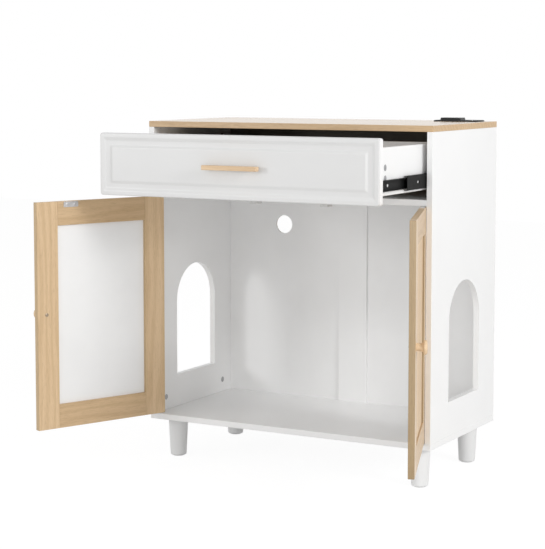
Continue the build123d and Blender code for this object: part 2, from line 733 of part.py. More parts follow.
# Door frames: stiles grooved over their full height, rails with tenons in those grooves
stile_places = (("hinge", -pivot_inset, 1), ("free", free_edge - door_stile, -1))
rail_first = door_stile - pivot_inset
rail_length = door_width - 2 * door_stile
rail_middle = rail_first + rail_length / 2
rail_places = (("bottom", 0, 1), ("top", door_height - door_rail, -1))
knob_spot = [(free_edge - knob_from_edge, door_height / 2 + knob_rise)]
pin_hole = pivot_diameter / 2 + running_clearance
for side, s in sides:
    groove_y = -s * panel_middle
    for name, x, way in stile_places:
        with BuildPart() as stile:
            block(door_level(s, 0), (x + door_stile / 2, 0), (door_stile, door_thickness), door_height)
            fillet(stile.edges(), door_round)
            inner_edge = x + door_stile / 2 + way * door_stile / 2
            block(door_level(s, -overrun), (inner_edge + way * (overrun - door_groove) / 2, groove_y),
                  (door_groove + overrun, groove_thickness), door_height + 2 * overrun, Mode.SUBTRACT)
            if name == "hinge":
                bars(door_level(s, 0), [(0, 0)], pin_hole, pivot_in_door, Mode.SUBTRACT)
                bars(door_level(s, door_height), [(0, 0)], pin_hole, -pivot_in_door, Mode.SUBTRACT)
            else:
                bars(door_face(s, -door_half), knob_spot, knob_screw_hole,
                     s * door_thickness, Mode.SUBTRACT)
        save(stile, f"{side}_door_{name}_stile")

    for name, z, way in rail_places:
        with BuildPart() as rail:
            block(door_level(s, z), (rail_middle, 0), (rail_length, door_thickness), door_rail)
            fillet(rail.edges().filter_by(Axis((0, 0, 0), door_level(s, 0).x_dir)), door_round)
            block(door_level(s, z), (rail_middle, groove_y),
                  (rail_length + 2 * (door_groove - groove_clearance), door_panel), door_rail)
            inner_edge = z + door_rail / 2 + way * door_rail / 2
            block(door_level(s, inner_edge - way * door_groove), (rail_middle, groove_y),
                  (rail_length + 2 * door_groove, groove_thickness),
                  way * (door_groove + overrun), Mode.SUBTRACT)
        save(rail, f"{side}_door_{name}_rail")

    with BuildPart() as panel:
        panel_z = door_rail - door_groove
        panel_height = door_height - door_rail + door_groove - groove_clearance - panel_z
        block(door_level(s, panel_z), (rail_middle, groove_y),
              (rail_length + 2 * (door_groove - groove_clearance), door_panel), panel_height)
    save(panel, f"{side}_door_panel")

    # Knob on the outer face, turned in one piece, with a screw from inside
    with BuildPart() as knob:
        bars(door_face(s, -door_half), knob_spot, knob_stem_diameter / 2, -s * knob_stem_length)
        bars(door_face(s, -door_half - knob_stem_length), knob_spot, knob_head_diameter / 2,
             -s * knob_head_thickness)
        outer_axis = Axis((0, 0, 0), door_face(s, 0).z_dir * -s)
        fillet(knob.edges().group_by(outer_axis)[-1], knob_round)
        bars(door_face(s, -door_half), knob_spot, knob_screw_hole,
             -s * knob_screw_grip, Mode.SUBTRACT)
    save(knob, f"{side}_door_knob")

    with BuildPart() as knob_screw:
        bars(door_face(s, door_half), knob_spot, knob_screw_diameter / 2,
             -s * (door_thickness + knob_screw_grip))
        bars(door_face(s, door_half), knob_spot, knob_screw_head / 2, s * knob_screw_head_thickness)
    save(knob_screw, f"{side}_door_knob_screw")

    with BuildPart() as strike_plate:
        strike_z = door_height - strike_from_top - strike_height / 2
        with BuildSketch(door_face(s, door_half)) as strike:
            with Locations((hinge_x - catch_from_middle, strike_z)):
                RectangleRounded(strike_length, strike_height, strike_round)
        extrude(strike.sketch, amount=s * strike_thickness)
    save(strike_plate, f"{side}_door_strike_plate")

    # Pivots: a plate on each end of the hinge stile with a pin through it
    with BuildPart() as pivots:
        plate_x = pivot_plate_length / 2 - pivot_plate_width / 2
        for z, way in ((0, -1), (door_height, 1)):
            block(door_level(s, z), (plate_x, 0), (pivot_plate_length, pivot_plate_width), way * pivot_plate)
            bars(door_level(s, z - way * pivot_in_door), [(0, 0)], pivot_diameter / 2,
                 way * (pivot_in_door + door_end_gap + pivot_in_board))
    save(pivots, f"{side}_door_pivots")

# Power module: a bezel on the top, a raised outlet block on it and the housing below
with BuildPart() as module_bezel:
    with BuildSketch(level(top_z)) as bezel_outline:
        with Locations((module_x, module_y)):
            RectangleRounded(module_length, module_width, module_corner)
    extrude(bezel_outline.sketch, amount=module_plate)
    fillet(module_bezel.edges().group_by(Axis.Z)[-1], edge_round)
    port_x = module_x + module_length / 2 - (module_length - outlet_from_end - outlet_length) / 2
    for n in (-1, 1):
        with BuildSketch(level(top_z + module_plate)) as port:
            with Locations((port_x, module_y + n * port_pitch / 2)):
                SlotOverall(port_length, port_width)
        extrude(port.sketch, amount=-port_depth, mode=Mode.SUBTRACT)
save(module_bezel, "power_module_bezel")

with BuildPart() as outlet_block:
    outlet_x = module_x - module_length / 2 + outlet_from_end + outlet_length / 2
    outlet_top_z = top_z + module_plate + outlet_height
    with BuildSketch(level(top_z + module_plate)) as outlet_outline:
        with Locations((outlet_x, module_y)):
            RectangleRounded(outlet_length, outlet_width, module_corner / 2)
    extrude(outlet_outline.sketch, amount=outlet_height, taper=outlet_taper)
    for n in (-1, 1):
        socket_x = outlet_x + n * outlet_pitch / 2
        for m in (-1, 1):
            block(level(outlet_top_z), (socket_x + m * blade_pitch / 2, module_y + ground_drop / 2),
                  (blade_width, blade_length), -outlet_depth, Mode.SUBTRACT)
        block(level(outlet_top_z), (socket_x, module_y - ground_drop / 2), (ground_width, ground_width),
              -outlet_depth, Mode.SUBTRACT)
save(outlet_block, "power_module_outlet_block")

with BuildPart() as module_housing:
    block(level(housing_z), (module_x, module_y),
          (housing_length - 2 * groove_clearance, housing_width - 2 * groove_clearance), top_z - housing_z)
    gland_face = module_x - housing_length / 2 + groove_clearance
    gland_spot = [(module_y, (housing_z + ceiling_z) / 2)]
    bars(section(gland_face), gland_spot, gland_diameter / 2, -gland_length)
    bars(section(gland_face - gland_length), gland_spot, gland_bore / 2, gland_length, Mode.SUBTRACT)
save(module_housing, "power_module_housing")
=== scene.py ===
"""Dresses the litter box enclosure: its finishes, its fine pieces, the studio and the camera."""

import json
import logging
import math
from dataclasses import dataclass
from enum import Enum
from typing import Dict, List, Optional, Sequence, Tuple, Union

import bmesh
import bpy
import numpy as np
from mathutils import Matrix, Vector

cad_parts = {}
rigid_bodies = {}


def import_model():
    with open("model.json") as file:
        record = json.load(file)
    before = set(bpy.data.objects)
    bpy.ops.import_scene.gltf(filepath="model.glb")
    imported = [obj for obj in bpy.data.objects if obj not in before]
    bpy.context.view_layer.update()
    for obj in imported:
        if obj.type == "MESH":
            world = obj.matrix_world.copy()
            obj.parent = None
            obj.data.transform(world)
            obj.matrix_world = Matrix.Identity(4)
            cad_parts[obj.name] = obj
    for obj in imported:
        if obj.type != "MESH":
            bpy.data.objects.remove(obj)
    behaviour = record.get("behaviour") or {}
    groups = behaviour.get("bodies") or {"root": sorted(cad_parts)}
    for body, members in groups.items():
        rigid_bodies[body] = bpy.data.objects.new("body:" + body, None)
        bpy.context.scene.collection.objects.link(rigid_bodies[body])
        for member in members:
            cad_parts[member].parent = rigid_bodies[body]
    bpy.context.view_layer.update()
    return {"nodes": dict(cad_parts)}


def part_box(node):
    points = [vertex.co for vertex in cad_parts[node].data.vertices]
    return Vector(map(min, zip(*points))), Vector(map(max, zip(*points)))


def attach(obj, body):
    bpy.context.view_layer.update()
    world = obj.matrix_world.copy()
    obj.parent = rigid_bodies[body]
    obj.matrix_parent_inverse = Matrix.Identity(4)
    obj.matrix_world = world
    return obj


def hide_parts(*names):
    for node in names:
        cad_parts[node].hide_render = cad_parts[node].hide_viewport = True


LOG = logging.getLogger("enclosure")

Colour = Tuple[float, float, float]
Triple = Tuple[float, float, float]
Feed = Union[float, Sequence[float], bpy.types.NodeSocket]

PICTURE_HEIGHT_PX = 549.0
FULL_TURN = 2.0 * math.pi
QUARTER_TURN = math.pi / 2
UPWARD: Triple = (0.0, 0.0, 1.0)
BACKWARD: Triple = (0.0, 1.0, 0.0)

MERGE_DISTANCE = 1e-6  # metres: points nearer than this are one
THIN_DISTANCE = 1e-7  # metres: edges shorter than this are dissolved
NO_LENGTH = 1e-12  # metres: stands in for a length of zero in a division
SOFT_SHARP_DEG = 50.0  # edges of soft forms are shaded sharp only over this angle
BAR_POWER = 0.2  # the lower, the nearer a soft bar comes to a box
OAK_RELIEF = 0.16

# Depths of relief in metres, at full strength
PEEL_DEPTH = 0.0003
PORE_DEPTH = 0.0002
DRAWN_DEPTH = 0.00005

# The span that the values of a cloud mostly fill
CLOUD_LOW = 0.3
CLOUD_HIGH = 0.7


class Grain(Enum):
    """The way the wood grain runs on a piece, as the turn that brings it to the pattern's X."""

    ALONG_X = (0.0, 0.0, 0.0)
    ALONG_Z = (0.0, QUARTER_TURN, 0.0)


class Side(Enum):
    """The left or the right of the cabinet, as the sign of X."""

    LEFT = -1
    RIGHT = 1

    @property
    def word(self) -> str:
        """The side's name as the nodes use it."""
        return self.name.lower()


# Helpers for node trees


class Graph:
    """Adds nodes to one node tree and links them."""

    def __init__(self, tree: bpy.types.NodeTree) -> None:
        """Keeps the tree that the nodes go into."""
        self.tree = tree

    def add(self, kind: str, inputs: Optional[Dict[Union[str, int], Feed]] = None,
            **settings: object) -> bpy.types.Node:
        """Adds one node.

        Args:
            kind: the node's type name.
            inputs: values or sockets for its inputs, by name or by number.
            settings: attributes of the node.

        Returns:
            The new node.
        """
        node = self.tree.nodes.new(kind)
        for key, value in settings.items():
            setattr(node, key, value)
        for key, value in (inputs or {}).items():
            self.feed(node.inputs[key], value)
        return node

    def feed(self, target: bpy.types.NodeSocket, value: Feed) -> None:
        """Links a socket to the target, or sets the target's value.

        Args:
            target: the input to fill.
            value: an output socket, a number, or a colour or vector.
        """
        if isinstance(value, bpy.types.NodeSocket):
            self.tree.links.new(value, target)
        elif isinstance(value, (int, float)):
            target.default_value = value
        else:
            size = len(target.default_value)
            target.default_value = (tuple(value) + (1.0,))[:size]

    def sum_up(self, operation: str, first: Feed, second: Feed = 0.0,
               clamp: bool = False) -> bpy.types.NodeSocket:
        """One step of arithmetic on two values.

        Args:
            operation: the Math node's operation.
            first: the first value.
            second: the second value.
            clamp: keeps the result from 0 to 1.

        Returns:
            The result.
        """
        node = self.add("ShaderNodeMath", {0: first, 1: second}, operation=operation, use_clamp=clamp)
        return node.outputs[0]

    def turned(self, vector: Feed, scale: Triple = (1.0, 1.0, 1.0), turn: Triple = (0.0, 0.0, 0.0),
               place: Triple = (0.0, 0.0, 0.0)) -> bpy.types.NodeSocket:
        """Moves, turns and scales a vector.

        Args:
            vector: the vector to map.
            scale: the scale of each axis.
            turn: the turn about each axis, in radians.
            place: the shift.

        Returns:
            The mapped vector.
        """
        node = self.add("ShaderNodeMapping", {"Vector": vector, "Scale": scale, "Rotation": turn,
                                              "Location": place})
        return node.outputs[0]

    def noise(self, vector: Feed, scale: Feed, detail: float = 2.0,
              rough: float = 0.5) -> bpy.types.NodeSocket:
        """A cloudy value from 0 to 1.

        Args:
            vector: where it is read.
            scale: how many clouds to a metre of the vector.
            detail: how many finer layers it has.
            rough: how strong those are.

        Returns:
            The value.
        """
        node = self.add("ShaderNodeTexNoise", {"Vector": vector, "Scale": scale, "Detail": detail,
                                               "Roughness": rough})
        return node.outputs[0]

    def spread(self, value: Feed, low: float, high: float, start: float,
               end: float) -> bpy.types.NodeSocket:
        """Takes a value's span to another span, smoothly and without going past its ends.

        Args:
            value: the value.
            low: the value that gives start.
            high: the value that gives end.
            start: the result at low.
            end: the result at high.

        Returns:
            The result.
        """
        node = self.add("ShaderNodeMapRange", {0: value, 1: low, 2: high, 3: start, 4: end},
                        interpolation_type="SMOOTHSTEP")
        return node.outputs[0]

    def full_span(self, cloud: Feed) -> bpy.types.NodeSocket:
        """Takes the span that a cloud mostly fills to the span from 0 to 1."""
        return self.spread(cloud, CLOUD_LOW, CLOUD_HIGH, 0.0, 1.0)

    def beyond(self, coords: Feed, way: Triple, level: float,
               test: str = "GREATER_THAN") -> bpy.types.NodeSocket:
        """A mask of the places whose distance along a way passes a level.

        Args:
            coords: the places.
            way: the way that the distance runs.
            level: the distance to pass.
            test: the Math node's comparison with the level.

        Returns:
            1 where the comparison holds, 0 elsewhere.
        """
        reach = self.add("ShaderNodeVectorMath", {0: coords, 1: way}, operation="DOT_PRODUCT")
        return self.sum_up(test, reach.outputs["Value"], level)

    def blend(self, share: Feed, first: Feed, second: Feed) -> bpy.types.NodeSocket:
        """Mixes two colours.

        Args:
            share: 0 gives the first, 1 the second.
            first: the first colour.
            second: the second colour.

        Returns:
            The mixed colour.
        """
        node = self.add("ShaderNodeMix", {0: share, 6: first, 7: second}, data_type="RGBA")
        return node.outputs[2]


@dataclass(frozen=True)
class OakPattern:
    """The sizes of the oak pattern with its grain along X.

    A stretch is how many clouds there are to a metre along and across the grain. A part is the span of a
    cloud's values that is used, and a span or share is what they become.
    """

    drift_stretch: Triple = (1.0, 8.0, 8.0)
    tone_stretch: Triple = (0.7, 20.0, 20.0)
    tone_shift: Triple = (3.1, 0.4, 1.7)
    tone_span: Tuple[float, float] = (-0.12, 0.16)
    ring_slant: float = 0.6
    ring_turns: float = 420.0
    ring_drift: float = 46.0
    ring_floor: float = -0.6
    fibre_stretch: Triple = (7.0, 420.0, 420.0)
    fibre_rough: float = 0.68
    fibre_part: Tuple[float, float] = (0.3, 0.75)
    fibre_share: float = 0.42
    gloss_part: Tuple[float, float] = (0.25, 0.8)
    gloss_span: Tuple[float, float] = (-0.05, 0.07)
    pore_stretch: Triple = (46.0, 1500.0, 1500.0)
    pore_part: Tuple[float, float] = (0.57, 0.68)
    pore_share: float = 0.30
    pore_colour: Colour = (0.26, 0.15, 0.075)


@dataclass(frozen=True)
class SkinPattern:
    """The sizes of the coated skin's pattern: how many clouds to a metre, and how the peel is layered."""

    mottle_scale: float = 7.0
    mottle_rough: float = 0.55
    finer_times: float = 3.0
    finer_share: float = 0.5


@dataclass(frozen=True)
class FibrePattern:
    """The sizes of the hardboard's pattern: clouds to a metre, and how far each cloud darkens."""

    long_stretch: Triple = (90.0, 90.0, 700.0)
    cross_stretch: Triple = (700.0, 700.0, 90.0)
    fibre_part: Tuple[float, float] = (0.35, 0.65)
    fibre_share: float = 0.7
    cloud_scale: float = 12.0
    cloud_share: float = 0.3


class GroupMaker:
    """Builds the shader groups that several finishes share, each of them once."""

    def __init__(self) -> None:
        """Starts with no group built."""
        self.built: Dict[str, bpy.types.NodeTree] = {}

    def start(self, name: str, inputs: Dict[str, str],
              outputs: Dict[str, str]) -> Tuple[Graph, bpy.types.Node, bpy.types.Node]:
        """Starts a group.

        Args:
            name: the group's name.
            inputs: the socket type of each named input.
            outputs: the socket type of each named output.

        Returns:
            The group's graph, its input node and its output node.
        """
        tree = bpy.data.node_groups.new(name, "ShaderNodeTree")
        for label, kind in inputs.items():
            tree.interface.new_socket(label, in_out="INPUT", socket_type=kind)
        for label, kind in outputs.items():
            tree.interface.new_socket(label, in_out="OUTPUT", socket_type=kind)
        self.built[name] = tree
        graph = Graph(tree)
        return graph, graph.add("NodeGroupInput"), graph.add("NodeGroupOutput")

    def oak_grain(self) -> bpy.types.NodeTree:
        """Oak with its grain along X.

        Growth lines are the sine of the distance across the grain, shifted by a cloud that is long
        along the grain. Fibres are a fine cloud stretched along the grain, and pores are the peaks of a
        still finer one.

        Returns:
            The group: light and dark wood in, colour, gloss and height out.
        """
        name = "oak_grain"
        if name in self.built:
            return self.built[name]
        graph, source, result = self.start(
            name,
            {"Vector": "NodeSocketVector", "Light": "NodeSocketColor", "Dark": "NodeSocketColor",
             "Lines": "NodeSocketFloat"},
            {"Color": "NodeSocketColor", "Gloss": "NodeSocketFloat", "Height": "NodeSocketFloat"})
        place, size = source.outputs["Vector"], OakPattern()
        drift = graph.noise(graph.turned(place, size.drift_stretch), 1.0, detail=3.0)
        tone = graph.noise(graph.turned(place, size.tone_stretch, place=size.tone_shift), 1.0)
        across = graph.add("ShaderNodeSeparateXYZ", {0: place})
        run = graph.sum_up("ADD", across.outputs[1],
                           graph.sum_up("MULTIPLY", across.outputs[2], size.ring_slant))
        ring = graph.sum_up("ADD", graph.sum_up("MULTIPLY", run, size.ring_turns),
                            graph.sum_up("MULTIPLY", drift, size.ring_drift))
        band = graph.spread(graph.sum_up("SINE", ring), size.ring_floor, 1.0, 0.0, 1.0)
        fibre = graph.noise(graph.turned(place, size.fibre_stretch), 1.0, detail=6.0,
                            rough=size.fibre_rough)
        pit = graph.noise(graph.turned(place, size.pore_stretch), 1.0, detail=1.0)
        pores = graph.spread(pit, *size.pore_part, 0.0, 1.0)
        lines = graph.sum_up("MULTIPLY", band, source.outputs["Lines"])
        darker = graph.sum_up("ADD", lines, graph.spread(fibre, *size.fibre_part, 0.0, size.fibre_share))
        darker = graph.sum_up("ADD", darker, graph.spread(tone, CLOUD_LOW, CLOUD_HIGH, *size.tone_span),
                              clamp=True)
        wood = graph.blend(darker, source.outputs["Light"], source.outputs["Dark"])
        pitted = graph.blend(graph.sum_up("MULTIPLY", pores, size.pore_share), wood, size.pore_colour)
        graph.feed(result.inputs["Color"], pitted)
        graph.feed(result.inputs["Gloss"], graph.spread(fibre, *size.gloss_part, *size.gloss_span))
        graph.feed(result.inputs["Height"], graph.sum_up("SUBTRACT", fibre, pores))
        return self.built[name]

    def fine_skin(self) -> bpy.types.NodeTree:
        """The faint unevenness of a coated or moulded skin.

        Mottle is a broad cloud, and Peel is a fine cloud at the given size with half as much of one
        three times finer.

        Returns:
            The group: a scale in, mottle and peel out.
        """
        name = "fine_skin"
        if name in self.built:
            return self.built[name]
        graph, source, result = self.start(
            name, {"Vector": "NodeSocketVector", "Scale": "NodeSocketFloat"},
            {"Mottle": "NodeSocketFloat", "Peel": "NodeSocketFloat"})
        place, scale, size = source.outputs["Vector"], source.outputs["Scale"], SkinPattern()
        broad = graph.noise(place, size.mottle_scale, detail=4.0, rough=size.mottle_rough)
        fine = graph.noise(place, scale, detail=1.0)
        finer = graph.noise(place, graph.sum_up("MULTIPLY", scale, size.finer_times), detail=1.0)
        peel = graph.sum_up("ADD", fine, graph.sum_up("MULTIPLY", finer, size.finer_share))
        graph.feed(result.inputs["Mottle"], broad)
        graph.feed(result.inputs["Peel"], peel)
        return self.built[name]

    def pressed_fibre(self) -> bpy.types.NodeTree:
        """Raw hardboard: short fibres in two crossing directions over a broad cloud.

        Returns:
            The group: light and dark board in, colour and height out.
        """
        name = "pressed_fibre"
        if name in self.built:
            return self.built[name]
        graph, source, result = self.start(
            name, {"Vector": "NodeSocketVector", "Light": "NodeSocketColor", "Dark": "NodeSocketColor"},
            {"Color": "NodeSocketColor", "Height": "NodeSocketFloat"})
        place, size = source.outputs["Vector"], FibrePattern()
        one = graph.noise(graph.turned(place, size.long_stretch), 1.0, detail=3.0)
        two = graph.noise(graph.turned(place, size.cross_stretch), 1.0, detail=3.0)
        fibres = graph.sum_up("MULTIPLY", graph.sum_up("ADD", one, two), 0.5)
        cloud = graph.noise(place, size.cloud_scale, detail=3.0)
        share = graph.sum_up("ADD", graph.spread(fibres, *size.fibre_part, 0.0, size.fibre_share),
                             graph.spread(cloud, CLOUD_LOW, CLOUD_HIGH, 0.0, size.cloud_share), clamp=True)
        graph.feed(result.inputs["Color"],
                   graph.blend(share, source.outputs["Light"], source.outputs["Dark"]))
        graph.feed(result.inputs["Height"], fibres)
        return self.built[name]


GROUPS = GroupMaker()


# Finishes


@dataclass(frozen=True)
class Finish:
    """What every finish has: a name, a roughness and how strong its relief is."""

    name: str
    roughness: float
    relief: float

    def material(self) -> bpy.types.Material:
        """Gives the finish's material, made at its first use.

        Returns:
            The material.
        """
        made = bpy.data.materials.get(self.name)
        if made is None:
            made = bpy.data.materials.new(self.name)
            made.use_nodes = True
            made.node_tree.nodes.clear()
            graph = Graph(made.node_tree)
            coords = graph.add("ShaderNodeTexCoord").outputs["Object"]
            shader = graph.add("ShaderNodeBsdfPrincipled", {"Roughness": self.roughness})
            out = graph.add("ShaderNodeOutputMaterial", {"Surface": shader.outputs[0]})
            out.is_active_output = True
            self.lay(graph, coords, shader)
        return made

    def lay(self, graph: Graph, coords: bpy.types.NodeSocket, shader: bpy.types.Node) -> None:
        """Fills the shader's sockets.

        Args:
            graph: the material's graph.
            coords: the object coordinates.
            shader: the Principled shader.
        """
        raise NotImplementedError

    def press(self, graph: Graph, shader: bpy.types.Node, height: Feed, depth: float) -> None:
        """Lays relief on the shader.

        Args:
            graph: the material's graph.
            shader: the Principled shader.
            height: the height pattern.
            depth: the relief's depth in metres.
        """
        bump = graph.add("ShaderNodeBump", {"Strength": self.relief, "Distance": depth, "Height": height})
        graph.feed(shader.inputs["Normal"], bump.outputs[0])


@dataclass(frozen=True)
class CoatedFinish(Finish):
    """A painted, laminated or moulded skin: one colour with faint mottle and a fine peel."""

    colour: Colour
    shade: Colour
    peel: float
    shine: float = 0.5
    gloss_part: Tuple[float, float] = (0.25, 0.75)
    gloss_shares: Tuple[float, float] = (0.98, 1.03)

    def lay(self, graph: Graph, coords: bpy.types.NodeSocket, shader: bpy.types.Node) -> None:
        """Mixes the two colours by the mottle, and varies the gloss with it.

        Args:
            graph: the material's graph.
            coords: the object coordinates.
            shader: the Principled shader.
        """
        skin = graph.add("ShaderNodeGroup", {"Vector": coords, "Scale": self.peel},
                         node_tree=GROUPS.fine_skin())
        mottle = graph.full_span(skin.outputs["Mottle"])
        graph.feed(shader.inputs["Base Color"], graph.blend(mottle, self.colour, self.shade))
        glossy, dull = (share * self.roughness for share in self.gloss_shares)
        graph.feed(shader.inputs["Roughness"],
                   graph.spread(skin.outputs["Mottle"], *self.gloss_part, glossy, dull))
        graph.feed(shader.inputs["Specular IOR Level"], self.shine)
        self.press(graph, shader, skin.outputs["Peel"], PEEL_DEPTH)


@dataclass(frozen=True)
class PressedFrontFinish(CoatedFinish):
    """A coated skin on a board's face, with the board's own white on its edges and back. The skin's grey is
    painted shade, which keeps the face darker than its white ends.

    The skin is where Y is under the given level.
    """

    level: float = 0.0
    board: Colour = (0.8, 0.8, 0.8)

    def lay(self, graph: Graph, coords: bpy.types.NodeSocket, shader: bpy.types.Node) -> None:
        """Lays the skin's grey, which is painted shade, then the board's white behind it.

        Args:
            graph: the material's graph.
            coords: the object coordinates.
            shader: the Principled shader.
        """
        super().lay(graph, coords, shader)
        skin = shader.inputs["Base Color"].links[0].from_socket
        # Beyond the level in Y, the board's white replaces the skin's painted shade.
        mask = graph.beyond(coords, BACKWARD, self.level)
        graph.feed(shader.inputs["Base Color"], graph.blend(mask, skin, self.board))


@dataclass(frozen=True)
class OakFinish(Finish):
    """Oak with a satin lacquer, its grain along one way of the piece.

    Where coat_over is given, the clear coat lies only above that height.
    """

    light: Colour
    dark: Colour
    turn: Triple
    place: Triple = (0.0, 0.0, 0.0)
    lines: float = 0.34
    coat: float = 0.2
    coat_over: Optional[float] = None
    coat_roughness: float = 0.24

    def wood(self, graph: Graph, coords: bpy.types.NodeSocket) -> bpy.types.Node:
        """Places the grain.

        Args:
            graph: the material's graph.
            coords: the object coordinates.

        Returns:
            The grain group's node.
        """
        place = graph.turned(coords, turn=self.turn, place=self.place)
        return graph.add("ShaderNodeGroup", {"Vector": place, "Light": self.light, "Dark": self.dark,
                                             "Lines": self.lines}, node_tree=GROUPS.oak_grain())

    def lay(self, graph: Graph, coords: bpy.types.NodeSocket, shader: bpy.types.Node) -> None:
        """Lays the grain's colour, gloss and pores.

        Args:
            graph: the material's graph.
            coords: the object coordinates.
            shader: the Principled shader.
        """
        grain = self.wood(graph, coords)
        graph.feed(shader.inputs["Base Color"], grain.outputs["Color"])
        graph.feed(shader.inputs["Roughness"],
                   graph.sum_up("ADD", grain.outputs["Gloss"], self.roughness))
        if self.coat_over is None:
            graph.feed(shader.inputs["Coat Weight"], self.coat)
        else:
            mask = graph.beyond(coords, UPWARD, self.coat_over)
            graph.feed(shader.inputs["Coat Weight"], graph.sum_up("MULTIPLY", mask, self.coat))
        graph.feed(shader.inputs["Coat Roughness"], self.coat_roughness)
        self.press(graph, shader, grain.outputs["Height"], PORE_DEPTH)


@dataclass(frozen=True)
class EdgedOakFinish(OakFinish):
    """Oak whose edge face is darkened by a band of painted shade.

    The band is where the distance along the given way is over the given level.
    """

    way: Triple = (1.0, 0.0, 0.0)
    level: float = 0.0
    tint: Colour = (0.75, 0.74, 0.67)

    def lay(self, graph: Graph, coords: bpy.types.NodeSocket, shader: bpy.types.Node) -> None:
        """Lays the oak, then darkens the band with painted shade.

        Args:
            graph: the material's graph.
            coords: the object coordinates.
            shader: the Principled shader.
        """
        super().lay(graph, coords, shader)
        plain = shader.inputs["Base Color"].links[0].from_socket
        # The band's darker colour is painted shade on an edge face turned away from the light.
        mask = graph.beyond(coords, self.way, self.level)
        edge_shaded = graph.add("ShaderNodeMix", {0: mask, 6: plain, 7: self.tint}, data_type="RGBA",
                           blend_type="MULTIPLY")
        graph.feed(shader.inputs["Base Color"], edge_shaded.outputs[2])


@dataclass(frozen=True)
class TwoFacedFinish(OakFinish):
    """A thin board with oak on one face and white on the other.

    The oak side is where the distance along the given way is over the given level.
    """

    way: Triple = BACKWARD
    level: float = 0.0
    white: Colour = (0.8, 0.8, 0.8)
    shade_share: float = 0.97
    peel: float = 900.0

    def lay(self, graph: Graph, coords: bpy.types.NodeSocket, shader: bpy.types.Node) -> None:
        """Lays oak and white either side of the board's middle.

        Args:
            graph: the material's graph.
            coords: the object coordinates.
            shader: the Principled shader.
        """
        grain = self.wood(graph, coords)
        skin = graph.add("ShaderNodeGroup", {"Vector": coords, "Scale": self.peel},
                         node_tree=GROUPS.fine_skin())
        mask = graph.beyond(coords, self.way, self.level)
        pale = graph.blend(graph.full_span(skin.outputs["Mottle"]), self.white,
                           tuple(self.shade_share * part for part in self.white))
        graph.feed(shader.inputs["Base Color"], graph.blend(mask, pale, grain.outputs["Color"]))
        graph.feed(shader.inputs["Roughness"],
                   graph.sum_up("ADD", grain.outputs["Gloss"], self.roughness))
        relief = graph.add("ShaderNodeMix", {0: mask, 2: skin.outputs["Peel"], 3: grain.outputs["Height"]})
        self.press(graph, shader, relief.outputs[0], PORE_DEPTH)


@dataclass(frozen=True)
class HardboardFinish(Finish):
    """Hardboard that is raw on one side and faced on the other.

    The face is where the distance along the given way is under the given level.
    """

    light: Colour
    dark: Colour
    way: Triple = BACKWARD
    level: float = 0.0
    face: Colour = (0.8, 0.8, 0.8)
    shade_share: float = 0.975
    peel: float = 800.0
    raw_roughness: float = 0.72

    def lay(self, graph: Graph, coords: bpy.types.NodeSocket, shader: bpy.types.Node) -> None:
        """Lays pressed fibre, and the face over it on its side.

        Args:
            graph: the material's graph.
            coords: the object coordinates.
            shader: the Principled shader.
        """
        fibre = graph.add("ShaderNodeGroup", {"Vector": coords, "Light": self.light, "Dark": self.dark},
                          node_tree=GROUPS.pressed_fibre())
        skin = graph.add("ShaderNodeGroup", {"Vector": coords, "Scale": self.peel},
                         node_tree=GROUPS.fine_skin())
        mask = graph.beyond(coords, self.way, self.level, "LESS_THAN")
        pale = graph.blend(graph.full_span(skin.outputs["Mottle"]), self.face,
                           tuple(self.shade_share * part for part in self.face))
        graph.feed(shader.inputs["Base Color"], graph.blend(mask, fibre.outputs["Color"], pale))
        rough = graph.add("ShaderNodeMix", {0: mask, 2: self.raw_roughness, 3: self.roughness})
        graph.feed(shader.inputs["Roughness"], rough.outputs[0])
        relief = graph.add("ShaderNodeMix", {0: mask, 2: fibre.outputs["Height"], 3: skin.outputs["Peel"]})
        self.press(graph, shader, relief.outputs[0], PORE_DEPTH)


@dataclass(frozen=True)
class MetalFinish(Finish):
    """Plated or polished metal with faint drawing lines along one way."""

    colour: Colour
    shade: Colour
    stretch: Triple = (900.0, 20.0, 900.0)
    cloud_scale: float = 60.0
    gloss_span: Tuple[float, float] = (-0.06, 0.08)

    def lay(self, graph: Graph, coords: bpy.types.NodeSocket, shader: bpy.types.Node) -> None:
        """Lays the metal's colour with fine lines in its gloss.

        Args:
            graph: the material's graph.
            coords: the object coordinates.
            shader: the Principled shader.
        """
        lines = graph.noise(graph.turned(coords, self.stretch), 1.0, detail=3.0)
        cloud = graph.noise(coords, self.cloud_scale)
        graph.feed(shader.inputs["Base Color"],
                   graph.blend(graph.full_span(cloud), self.colour, self.shade))
        graph.feed(shader.inputs["Metallic"], 1.0)
        glossy, dull = (self.roughness + part for part in self.gloss_span)
        graph.feed(shader.inputs["Roughness"], graph.spread(lines, CLOUD_LOW, CLOUD_HIGH, glossy, dull))
        self.press(graph, shader, lines, DRAWN_DEPTH)


def even(value: float) -> Triple:
    """The same value three times: an even grey or an even stretch."""
    return (value, value, value)


WHITE: Colour = (0.89, 0.89, 0.888)
WHITE_SHADE: Colour = (0.878, 0.878, 0.876)
# The drawer front's grey lacquer is painted shade: it is darker than the boards' white so the front reads
# darker than its white ends and the bright inside.
LACQUER_PAINTED_SHADE: Colour = (0.706, 0.706, 0.703)
LACQUER_PAINTED_SHADE_MOTTLE: Colour = (0.697, 0.697, 0.694)
OAK_LIGHT: Colour = (0.735, 0.535, 0.325)
OAK_DARK: Colour = (0.575, 0.39, 0.21)
